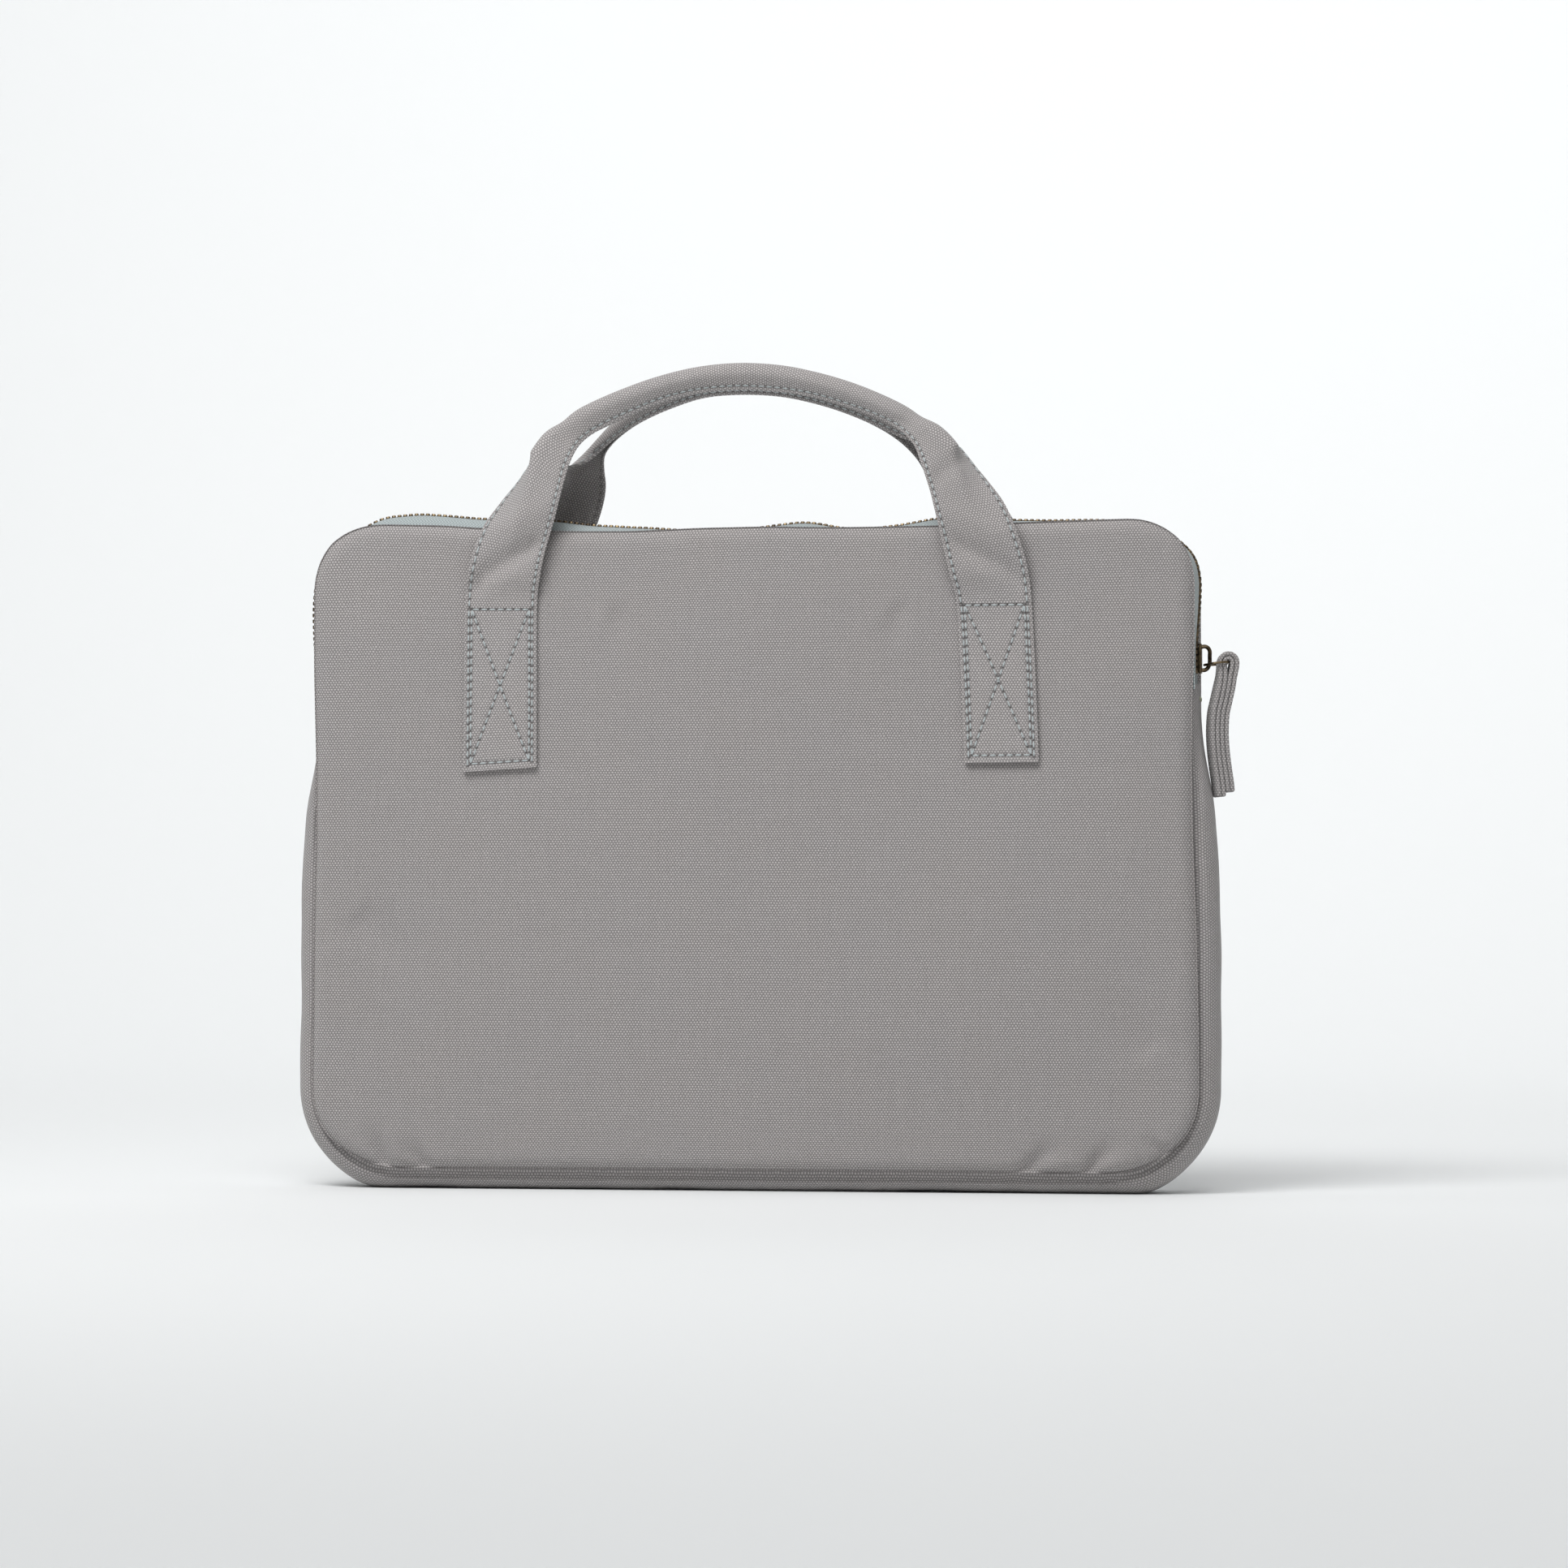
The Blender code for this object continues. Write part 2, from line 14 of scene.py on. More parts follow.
import bpy
import numpy as np
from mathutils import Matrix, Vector


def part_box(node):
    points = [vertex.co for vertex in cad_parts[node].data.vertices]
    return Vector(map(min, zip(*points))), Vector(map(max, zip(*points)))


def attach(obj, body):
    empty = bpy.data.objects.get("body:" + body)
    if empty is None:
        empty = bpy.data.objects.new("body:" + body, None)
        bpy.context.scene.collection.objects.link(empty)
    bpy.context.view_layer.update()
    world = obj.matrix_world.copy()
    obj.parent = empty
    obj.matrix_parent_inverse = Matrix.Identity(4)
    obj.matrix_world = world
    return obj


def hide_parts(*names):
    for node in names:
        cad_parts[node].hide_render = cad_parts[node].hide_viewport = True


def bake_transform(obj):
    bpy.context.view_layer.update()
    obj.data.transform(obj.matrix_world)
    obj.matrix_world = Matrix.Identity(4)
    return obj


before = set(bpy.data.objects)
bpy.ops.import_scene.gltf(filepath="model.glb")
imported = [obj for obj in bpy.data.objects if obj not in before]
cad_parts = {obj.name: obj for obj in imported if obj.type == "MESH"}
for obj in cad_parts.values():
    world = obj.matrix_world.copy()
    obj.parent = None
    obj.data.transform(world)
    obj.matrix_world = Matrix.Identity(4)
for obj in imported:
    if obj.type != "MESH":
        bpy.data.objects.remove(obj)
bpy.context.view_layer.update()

MM = 0.001

# %% [markdown]
# ## Sizes
#
# The frame says where the panels' seams, the fold line and the gusset's ends are. Each panel leans in a
# little towards the top, so the sleeve's half depth is a straight line in z.

# %% Sizes read from the frame
panel_low, panel_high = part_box("front_panel_canvas")
lip_low, lip_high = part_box("front_lip_canvas")
HALF_WIDTH = panel_high.x
BOTTOM_SEAM, TOP_SEAM = panel_low.z, lip_high.z
FOLD_Z = (panel_high.z + lip_low.z) / 2
ZIP_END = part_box("gusset_canvas")[1].z
BOTTOM_RADIUS = 36 * MM
TOP_RADIUS = 27 * MM
WALL = 4.7 * MM  # a panel's canvas and foam together
LINING = 0.4 * MM
GUSSET_HALF = 17 * MM  # half the flat gusset's width


def half_depth(z):
    """From the middle of the sleeve to a panel's outer face at this height."""
    lean = (panel_low.y - lip_low.y) / (lip_low.z - BOTTOM_SEAM)
    return -panel_low.y + (z - BOTTOM_SEAM) * lean


print("seam half width", HALF_WIDTH, "fold line at", FOLD_Z, "half depth there", half_depth(FOLD_Z))

# %% [markdown]
# ## Working by hand, in code
#
# Operators act on whatever is selected, so each piece is selected alone first. Modifiers are applied as
# soon as they have done their work, and a piece's place, turn and scale are written into its mesh.


# %% Selecting and finishing a piece
def clear_selection():
    bpy.ops.object.select_all(action="DESELECT")


def apply_place():
    bpy.ops.object.transform_apply(location=True, rotation=True, scale=True)


def only(piece):
    """Selects this piece alone."""
    clear_selection()
    piece.select_set(True)
    bpy.context.view_layer.objects.active = piece
    return piece


def apply_modifiers(piece):
    only(piece)
    for modifier in list(piece.modifiers):
        bpy.ops.object.modifier_apply(modifier=modifier.name)
    return piece


def thicken(piece, thickness, offset=-1.0):
    """Gives a sheet its thickness. With offset -1 the sheet stays the outer face."""
    wall = piece.modifiers.new("thickness", "SOLIDIFY")
    wall.thickness = thickness
    wall.offset = offset
    return apply_modifiers(piece)


def subdivide(piece, levels, simple=False):
    finer = piece.modifiers.new("finer", "SUBSURF")
    finer.levels = finer.render_levels = levels
    finer.subdivision_type = "SIMPLE" if simple else "CATMULL_CLARK"
    finer.boundary_smooth = "PRESERVE_CORNERS"
    return apply_modifiers(piece)


def points_of(piece):
    found = np.empty(len(piece.data.vertices) * 3)
    piece.data.vertices.foreach_get("co", found)
    return found.reshape(-1, 3)


def put_points(piece, points):
    piece.data.vertices.foreach_set("co", np.ascontiguousarray(points, dtype=float).ravel())
    piece.data.update()


def face_outwards(piece):
    """Turns all faces outwards, in edit mode, and shades the piece smooth where it isn't sharp."""
    only(piece)
    bpy.ops.object.mode_set(mode="EDIT")
    bpy.ops.mesh.select_all(action="SELECT")
    bpy.ops.mesh.normals_make_consistent(inside=False)
    bpy.ops.object.mode_set(mode="OBJECT")
    bpy.ops.object.shade_smooth_by_angle(angle=math.radians(50))
    return piece


def join(name, pieces):
    """Joins copies into one piece."""
    clear_selection()
    for piece in pieces:
        piece.select_set(True)
    bpy.context.view_layer.objects.active = pieces[0]
    if len(pieces) > 1:
        bpy.ops.object.join()
    pieces[0].name = name
    return pieces[0]


# %% [markdown]
# ## Cloth that remembers its threads
#
# A weave has to follow the cloth through every fold. Each cut of cloth is a flat grid, and its place on the
# flat cloth, in metres, is written in its UV map before it is bent. The weave reads only that map.


# %% A flat cut of cloth
def lay_threads(piece):
    """Writes each corner's place on the flat cloth, in metres, in the UV map that the weave follows."""
    layer = piece.data.uv_layers.active or piece.data.uv_layers.new(name="cloth")
    layer.name = "cloth"
    corners = np.empty(len(piece.data.loops), dtype=int)
    piece.data.loops.foreach_get("vertex_index", corners)
    layer.data.foreach_set("uv", points_of(piece)[corners][:, :2].ravel())
    return piece


def cloth_cut(name, length, width, along, across):
    """A flat rectangle of cloth: x runs along it from 0, y across it, with 0 in the middle."""
    clear_selection()
    bpy.ops.mesh.primitive_grid_add(x_subdivisions=along, y_subdivisions=across, size=1)
    piece = bpy.context.object
    piece.name = name
    piece.data.name = name
    piece.scale = (length, width, 1)
    piece.location.x = length / 2
    apply_place()
    return lay_threads(piece)


# %% [markdown]
# ## How the soft sleeve settles
#
# Nothing sewn is quite straight. The top seam dips left of the middle and stands up at the right, the pads
# are a little uneven, and the whole is a touch wider than its pattern. One function moves every soft piece
# by the same small amounts, so the layers stay together.


# %% The sleeve's unevenness
def smooth(t):
    t = np.clip(t, 0.0, 1.0)
    return t * t * (3 - 2 * t)


def eased(place, known_at, known, reach):
    """Reads a table of numbers at any place, with its corners eased off over this reach."""
    return sum(np.interp(place + step * reach, known_at, known) for step in (-1, -0.5, 0, 0.5, 1)) / 5


# How far the top edge is lifted at each x, in mm.
TOP_EDGE = np.array([(-190, 1.0), (-165, 1.6), (-154, 1.6), (-127, 0.8), (-113, -0.4), (-76, -2.2), (-50, -2.5),
                     (-22, -1.5), (8, -1.2), (25, -1.7), (42, -1.9), (75, -1.7), (121, -0.5), (155, 0.2),
                     (164, 0.2), (190, 0.0)]) * MM
WIDER = 1.008  # the finished sleeve over its pattern


def settle(points):
    """Moves points of the finished sleeve by the soft unevenness of the real one."""
    x, y, z = points.T
    near_top = smooth((z - 0.225) / 0.04)
    lifted = eased(x, *TOP_EDGE.T, 5 * MM) * near_top
    side = np.sign(y) * smooth(np.abs(y) / (6 * MM))
    swell = 0.6 * np.sin(x / 0.071 + 0.6) * np.sin(z / 0.055 + 0.4) + 0.4 * np.sin(x / 0.031 - z / 0.047)
    edge = smooth((HALF_WIDTH - np.abs(x)) / 0.03) * smooth((z - 0.02) / 0.05) * smooth((TOP_SEAM - z) / 0.05)
    return np.stack([x * WIDER, y + side * swell * edge * MM, z + lifted], axis=1)


# %% [markdown]
# ## Round the rim
#
# Gusset, tapes, teeth and their stitches all run round the sleeve's outline. rim gives a point of the
# outline and the direction straight out of it, at any distance from the right-hand end.


# %% The outline
def rim_sizes(over_top):
    """The corner radius, and the height from the gusset's ends up to the top seam or down to the base seam."""
    return (TOP_RADIUS, TOP_SEAM - ZIP_END) if over_top else (BOTTOM_RADIUS, ZIP_END - BOTTOM_SEAM)


def rim(distance, over_top):
    """x, z and the outward direction on the outline, at this distance from its right-hand end."""
    radius, reach = rim_sizes(over_top)
    up = 1.0 if over_top else -1.0
    straight, turn = reach - radius, math.pi / 2 * radius
    total = rim_length(over_top)
    flip = np.where(distance > total / 2, -1.0, 1.0)
    from_end = np.where(distance > total / 2, total - distance, distance)
    angle = np.clip((from_end - straight) / radius, 0, math.pi / 2)
    inward = np.clip(from_end - straight - turn, 0, None)
    x = HALF_WIDTH - radius + radius * np.cos(angle) - inward
    z = ZIP_END + up * (np.minimum(from_end, straight) + radius * np.sin(angle))
    return flip * x, z, flip * np.cos(angle), up * np.sin(angle)


def rim_length(over_top):
    radius, reach = rim_sizes(over_top)
    return 2 * (reach - radius) + math.pi * radius + 2 * (HALF_WIDTH - radius)


MOUTH = rim_length(True)
BASE = rim_length(False)
print("the mouth's rim is", round(MOUTH / MM), "mm long, the base's", round(BASE / MM))

# %% [markdown]
# ## Materials: canvas
#
# The sleeve is warm grey canvas in a plain weave: short pale crowns of thread in rows, each row half a step
# from the next, with dark hollows between. The product of two cosines gives exactly that lattice. Noise
# bends the threads and makes some a little paler, and a slow drift of tone is so faint that it hardly shows.


# %% Small helpers for shader nodes
class Recipe:
    """Builds one material, node by node."""

    def __init__(self, name, roughness, metallic=0.0):
        self.material = bpy.data.materials.new(name)
        self.material.use_nodes = True
        self.tree = self.material.node_tree
        self.shader = self.tree.nodes["Principled BSDF"]
        self.shader.inputs["Roughness"].default_value = roughness
        self.shader.inputs["Metallic"].default_value = metallic

    def node(self, kind, **settings):
        made = self.tree.nodes.new(kind)
        for name, value in settings.items():
            setattr(made, name, value)
        return made

    def put(self, value, socket):
        """Connects a socket, or sets a plain number or colour."""
        if isinstance(value, bpy.types.NodeSocket):
            self.tree.links.new(value, socket)
        else:
            socket.default_value = value

    def math(self, operation, a, b=0.0, c=0.0):
        made = self.node("ShaderNodeMath", operation=operation)
        for value, socket in zip((a, b, c), made.inputs):
            self.put(value, socket)
        return made.outputs[0]

    def noise(self, place, scale, detail=2.0, roughness=0.5):
        made = self.node("ShaderNodeTexNoise")
        self.put(place, made.inputs["Vector"])
        made.inputs["Scale"].default_value = scale
        made.inputs["Detail"].default_value = detail
        made.inputs["Roughness"].default_value = roughness
        return made.outputs["Fac"]

    def scaled(self, place, factors):
        made = self.node("ShaderNodeVectorMath", operation="MULTIPLY")
        self.put(place, made.inputs[0])
        made.inputs[1].default_value = factors
        return made.outputs[0]

    def ramp(self, factor, stops):
        """A colour ramp from (position, colour) pairs."""
        made = self.node("ShaderNodeValToRGB")
        self.put(factor, made.inputs[0])
        elements = made.color_ramp.elements
        while len(elements) < len(stops):
            elements.new(0.5)
        for element, (position, colour) in zip(elements, stops):
            element.position = position
            element.color = (*colour, 1.0)
        return made.outputs[0]

    def mix(self, factor, a, b, blend="MIX"):
        made = self.node("ShaderNodeMix", data_type="RGBA", blend_type=blend)
        self.put(factor, made.inputs[0])
        for value, socket in ((a, made.inputs[6]), (b, made.inputs[7])):
            self.put((*value, 1.0) if isinstance(value, tuple) else value, socket)
        return made.outputs[2]

    def cloth_place(self):
        """The place on the flat cloth, in millimetres."""
        return self.scaled(self.node("ShaderNodeUVMap", uv_map="cloth").outputs[0], (1000, 1000, 1000))

    def object_place(self):
        """The place in the piece's own space, in millimetres."""
        coordinate = self.node("ShaderNodeTexCoord").outputs["Object"]
        return self.scaled(coordinate, (1000, 1000, 1000))

    def finish(self, colour, height=None, depth=0.0, distance=MM):
        self.put(colour, self.shader.inputs["Base Color"])
        if height is not None:
            bump = self.node("ShaderNodeBump")
            bump.inputs["Strength"].default_value = depth
            bump.inputs["Distance"].default_value = distance
            self.put(height, bump.inputs["Height"])
            self.put(bump.outputs[0], self.shader.inputs["Normal"])
        return self.material


# %% Woven canvas
THREAD_STEP = 1.2  # mm from crown to crown in a row
ROW_STEP = 0.97  # mm from row to row


def canvas_material(name, tone, along_rows=True, on_uv=True, sewn=False):
    """Plain-woven canvas. along_rows says whether the rows of crowns run along the cloth's x, and sewn
    that each needle hole and row of stitches on the piece gets painted shade, read from a point attribute."""
    cloth = Recipe(name, 0.92)
    place = cloth.cloth_place() if on_uv else cloth.object_place()
    parts = cloth.node("ShaderNodeSeparateXYZ")
    cloth.put(place, parts.inputs[0])
    along, across = ((0, 1) if along_rows else (1, 0)) if on_uv else (0, 2)
    column, row = parts.outputs[along], parts.outputs[across]
    wander_a = cloth.math("MULTIPLY", cloth.math("SUBTRACT", cloth.noise(place, 0.35, 3.0), 0.5), 0.9)
    wander_b = cloth.math("MULTIPLY", cloth.math("SUBTRACT", cloth.noise(place, 0.31, 3.0), 0.5), 0.7)
    column = cloth.math("ADD", column, wander_a)
    row = cloth.math("ADD", row, wander_b)
    wave_a = cloth.math("COSINE", cloth.math("MULTIPLY", column, 2 * math.pi / THREAD_STEP))
    wave_b = cloth.math("COSINE", cloth.math("MULTIPLY", row, math.pi / ROW_STEP))
    ridge = cloth.math("COSINE", cloth.math("MULTIPLY", row, 2 * math.pi / ROW_STEP))
    lattice = cloth.math("MULTIPLY_ADD", cloth.math("MULTIPLY", wave_a, wave_b), 0.36, 0.5)
    lattice = cloth.math("MULTIPLY_ADD", ridge, 0.17, lattice)
    streak, other = (0.05, 1.1, 1.1), (1.1, 0.05, 1.1)
    if on_uv and not along_rows:
        streak, other = other, streak
    weft = cloth.noise(cloth.scaled(place, streak), 1.0, 1.0)
    warp = cloth.noise(cloth.scaled(place, other), 0.8, 1.0)
    fuzz = cloth.noise(place, 1.9, 3.0, 0.7)
    light = cloth.math("MULTIPLY_ADD", cloth.math("ADD", weft, warp), 0.07, -0.07)
    light = cloth.math("MULTIPLY_ADD", cloth.math("SUBTRACT", fuzz, 0.5), 0.50, light)
    light = cloth.math("ADD", light, lattice)
    dark, mid, pale = (tuple(channel * share for channel in tone) for share in (0.42, 0.95, 2.05))
    colour = cloth.ramp(light, [(0.0, dark), (0.45, mid), (1.0, pale)])
    drift = cloth.noise(place, 0.03, 2.0)
    warmer, cooler = (1.004, 1.0, 0.996), (0.997, 1.0, 1.004)
    colour = cloth.mix(1.0, colour, cloth.ramp(drift, [(0.35, warmer), (0.65, cooler)]), "MULTIPLY")
    cloth.shader.inputs["Sheen Weight"].default_value = 0.25
    cloth.shader.inputs["Sheen Roughness"].default_value = 0.6
    cloth.shader.inputs["Specular IOR Level"].default_value = 0.2
    height = cloth.math("MULTIPLY_ADD", fuzz, 0.35, lattice)
    # Painted shade: each needle hole and row of stitches is darkened in colour towards a quarter of the tone, by
    # a point attribute.
    if sewn:
        painted_pit_shade = cloth.node("ShaderNodeAttribute", attribute_name="painted_pit_shade").outputs["Fac"]
        colour = cloth.mix(painted_pit_shade, colour, tuple(0.25 * channel for channel in tone))
    return cloth.finish(colour, height, 0.8, 0.35 * MM)


CANVAS_TONE = (0.300, 0.283, 0.280)
panel_canvas = canvas_material("grey_canvas", CANVAS_TONE)
STRAP_TONE = tuple(1.06 * channel for channel in CANVAS_TONE)
strap_canvas = canvas_material("strap_canvas", STRAP_TONE, along_rows=False, sewn=True)
pull_canvas = canvas_material("pull_canvas", CANVAS_TONE, on_uv=False)

# %% [markdown]
# ## Materials: lining, tape, thread and brass
#
# The lining is a finer, smoother cloth. The zip tape is a blue-grey twill, with its ribs at an angle. The
# thread is a pale blue-grey, twisted. The metal is brass darkened with age, and brighter in patches.


# %% The other materials
def lining_material():
    cloth = Recipe("smooth_lining", 0.75)
    place = cloth.object_place()
    fine = cloth.noise(cloth.scaled(place, (2.4, 2.4, 0.5)), 1.0, 2.0)
    slow = cloth.noise(place, 0.02, 3.0)
    shade = cloth.math("MULTIPLY_ADD", fine, 0.5, cloth.math("MULTIPLY", slow, 0.5))
    colour = cloth.ramp(shade, [(0.2, (0.24, 0.235, 0.23)), (0.8, (0.38, 0.375, 0.37))])
    cloth.shader.inputs["Sheen Weight"].default_value = 0.15
    return cloth.finish(colour, fine, 0.25, 0.2 * MM)


def tape_material():
    cloth = Recipe("slate_tape", 0.85)
    place = cloth.cloth_place()
    parts = cloth.node("ShaderNodeSeparateXYZ")
    cloth.put(place, parts.inputs[0])
    slope = cloth.math("MULTIPLY_ADD", cloth.math("PINGPONG", parts.outputs[1], 1.6), 0.9, parts.outputs[0])
    rib = cloth.math("SINE", cloth.math("MULTIPLY", slope, 2 * math.pi / 1.3))
    fuzz = cloth.noise(place, 2.2, 3.0, 0.7)
    shade = cloth.math("MULTIPLY_ADD", rib, 0.26, cloth.math("MULTIPLY_ADD", fuzz, 0.6, 0.2))
    colour = cloth.ramp(shade, [(0.2, (0.23, 0.262, 0.268)), (0.8, (0.46, 0.515, 0.52))])
    cloth.shader.inputs["Sheen Weight"].default_value = 0.2
    return cloth.finish(colour, shade, 0.4, 0.25 * MM)


def thread_material(name, low, high):
    cloth = Recipe(name, 0.7)
    place = cloth.object_place()
    twist = cloth.noise(place, 2.5, 2.0)
    cloth.shader.inputs["Sheen Weight"].default_value = 0.2
    return cloth.finish(cloth.ramp(twist, [(0.3, low), (0.7, high)]), twist, 0.4, 0.1 * MM)


def brass_material():
    metal = Recipe("aged_brass", 0.38, 1.0)
    place = metal.object_place()
    patina = metal.noise(place, 0.45, 4.0, 0.65)
    stops = [(0.35, (0.055, 0.042, 0.032)), (0.6, (0.20, 0.15, 0.09)), (0.78, (0.5, 0.38, 0.2))]
    colour = metal.ramp(patina, stops)
    rough = metal.math("MULTIPLY_ADD", patina, -0.25, 0.5)
    metal.put(rough, metal.shader.inputs["Roughness"])
    return metal.finish(colour, metal.noise(place, 2.0, 2.0), 0.12, 0.1 * MM)


lining_cloth = lining_material()
tape_cloth = tape_material()
pale_thread = thread_material("pale_thread", (0.35, 0.39, 0.40), (0.56, 0.60, 0.61))
tack_thread = thread_material("tack_thread", (0.36, 0.40, 0.26), (0.56, 0.60, 0.42))
aged_brass = brass_material()


def dress(piece, material):
    """Gives the piece its one material."""
    piece.data.materials.clear()
    piece.data.materials.append(material)
    return piece


def hand_over(piece, material, slot, *nodes):
    """Finishes a piece that stands for these nodes of the frame."""
    face_outwards(piece)
    dress(piece, material)
    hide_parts(*nodes)
    return piece


# %% [markdown]
# ## The padded panels
#
# A panel is canvas over foam. It starts as a grid, and its corners are rounded by drawing the grid in, so
# that it stays all quads and its edge follows the curve. It gets its thickness flat, swells a little as
# cloth, and then its edge is rolled down to the seam, creased where the seam gathers it, and leaned into place.


# %% Rounding a grid's corners
def round_corners(x, z, half_width, low, high, low_radius, high_radius):
    """Draws the square corners of a grid in to rounded ones."""
    x, z = x.copy(), z.copy()
    for end, up, radius in ((low, -1.0, low_radius), (high, 1.0, high_radius)):
        a = (np.abs(x) - (half_width - radius)) / radius
        b = up * (z - (end - up * radius)) / radius
        inside = (a > 0) & (b > 0)
        drawn = np.where(inside, np.maximum(a, b) / np.maximum(np.hypot(a, b), 1e-9), 1.0)
        x = np.where(inside, np.sign(x) * (half_width - radius + a * drawn * radius), x)
        z = np.where(inside, end - up * radius + up * b * drawn * radius, z)
    return x, z


def inset_from_seam(x, z, half_width, low, high, low_radius, high_radius):
    """How far inside the outline a point is."""
    depth = np.minimum(half_width - np.abs(x), np.minimum(z - low, high - z))
    for end, up, radius in ((low, -1.0, low_radius), (high, 1.0, high_radius)):
        a = np.abs(x) - (half_width - radius)
        b = up * (z - (end - up * radius))
        depth = np.where((a > 0) & (b > 0), radius - np.hypot(a, b), depth)
    return np.maximum(depth, 0.0)


PANEL_OUTLINE = (HALF_WIDTH, BOTTOM_SEAM, TOP_SEAM, BOTTOM_RADIUS, TOP_RADIUS)


def flat_panel(name, inset, along, across):
    """A flat upright grid with the panel's rounded outline, this far inside the seam."""
    outline = (PANEL_OUTLINE[0] - inset, PANEL_OUTLINE[1] + inset, PANEL_OUTLINE[2] - inset)
    radii = (BOTTOM_RADIUS - inset, TOP_RADIUS - inset)
    half_width, low, high = outline
    piece = cloth_cut(name, 2 * half_width, high - low, along, across)
    flat = points_of(piece)
    x, z = round_corners(flat[:, 0] - half_width, flat[:, 1] + (low + high) / 2, *outline, *radii)
    put_points(piece, np.stack([x, z, np.zeros(len(x))], axis=1))
    return lay_threads(piece)


# %% [markdown]
# The cloth simulation blows the pad up from inside, as its foam does. The inner face, the seam and the cloth
# under the sewn strap ends are held. The pressure swells the pad more than its foam would, so the whole
# movement is scaled down until the cap is its greatest, and the shape is kept as the mesh.


# %% Swelling a pad
SWELL_FRAMES = 20


def swell(pad, held, cap, pressure=4.0):
    """Blows the pad up as cloth, with the held points pinned, and keeps the shape."""
    before = points_of(pad)
    pins = pad.vertex_groups.new(name="held")
    pins.add([int(index) for index in np.nonzero(held)[0]], 1.0, "REPLACE")
    cloth = pad.modifiers.new("swell", "CLOTH")
    cloth.settings.quality = 6
    cloth.settings.mass = 0.2
    cloth.settings.vertex_group_mass = "held"
    cloth.settings.use_pressure = True
    cloth.settings.uniform_pressure_force = pressure
    cloth.settings.effector_weights.gravity = 0.0
    cloth.settings.shrink_min = -0.004
    cloth.point_cache.frame_end = SWELL_FRAMES
    scene = bpy.context.scene
    for step in range(1, SWELL_FRAMES + 1):
        scene.frame_set(step)
    swollen = pad.evaluated_get(bpy.context.evaluated_depsgraph_get())
    after = np.empty(len(swollen.data.vertices) * 3)
    swollen.data.vertices.foreach_get("co", after)
    moved = after.reshape(-1, 3) - before
    length = np.linalg.norm(moved, axis=1, keepdims=True)
    pad.modifiers.remove(cloth)
    pad.vertex_groups.clear()
    scene.frame_set(1)
    put_points(pad, before + moved * min(1.0, cap / float(length.max())))
    print(pad.name, "swelled by", round(float(length.max()) / MM, 1), "mm, scaled to at most", cap / MM)
    return pad


# %% [markdown]
# Where the seam pulls, short creases run into the panel: from the base near each corner, and faint ones down
# from the top seam and in from the sides. Each is a line along which the face is drawn in, and fades along
# its length. A row gives its foot's x and z, its direction, its length, and its width and depth in mm.

# %% Creases
FRONT_CREASES = [
    (-0.150, 0.007, -0.35, 0.94, 0.024, 2.6, 3.2),
    (-0.133, 0.006, -0.60, 0.80, 0.020, 2.4, 2.8),
    (0.111, 0.006, 0.70, 0.71, 0.026, 2.6, 3.2),
    (0.137, 0.007, 0.60, 0.80, 0.022, 2.3, 3.2),
    (0.166, 0.016, -0.75, 0.66, 0.012, 2.0, 2.4),
    (0.160, 0.060, -0.60, 0.80, 0.040, 7.0, 1.6),
    (-0.160, 0.110, 0.75, -0.66, 0.045, 8.0, 1.6),
    (0.060, 0.236, -0.10, -0.99, 0.018, 3.0, 1.2),
    (-0.055, 0.236, 0.2, -0.98, 0.018, 3.0, 1.2),
]
BACK_CREASES = [(-x, z, -way_x, way_z, length, width, 0.8 * depth)
                for x, z, way_x, way_z, length, width, depth in FRONT_CREASES]


def crease_depth(x, z, creases):
    """How far the creases draw the face in."""
    total = np.zeros(len(x))
    for foot_x, foot_z, way_x, way_z, length, width, depth in creases:
        along = (x - foot_x) * way_x + (z - foot_z) * way_z
        aside = (x - foot_x) * way_z - (z - foot_z) * way_x
        spread = width * MM * (1 + np.clip(along, 0, None) / length)
        fade = smooth(1 - along / length) * smooth(1 + along / (6 * MM))
        total += depth * MM * fade * np.exp(-((aside / spread) ** 2))
        total -= 0.35 * depth * MM * fade * np.exp(-(((aside - 2.2 * spread) / spread) ** 2))
    return total


# %% [markdown]
# The panel's edge is rolled down to the seam. Its side edges wander in and out, and its lower edge rides up
# over the gusset. A row of EDGES is a height, and how far the right and the left edge lie outside the seam
# there, in mm.

# %% Placing a panel
ROLL = 5.5 * MM
ROLL_DROP = 3.2 * MM
EDGES = np.array([(0, 0.0, 0.3), (60, 0.0, 0.3), (110, -1.0, 0.2), (145, -2.4, -0.4), (175, -2.8, -0.2),
                  (205, -2.4, 0.8), (215, -1.6, 1.1), (250, -1.4, 1.4), (262, 0.0, 2.2), (280, 0.3, 1.8)]) * MM


def lift_base(z):
    """The panel's lower edge rides up over the gusset, which swells out under it."""
    return z + 3.4 * MM * smooth((0.032 - z) / 0.028)


def push_edges(x, z):
    """Moves the panel's side edges in or out to where the seam really runs."""
    heights, right_edge, left_edge = EDGES.T
    right = eased(z, heights, right_edge, 6 * MM) * smooth((x - 0.150) / 0.030)
    left = eased(z, heights, left_edge, 6 * MM) * smooth((-x - 0.150) / 0.030)
    corner = left * smooth((z - 0.250) / 0.02)
    return x + right - left, z + 0.5 * corner


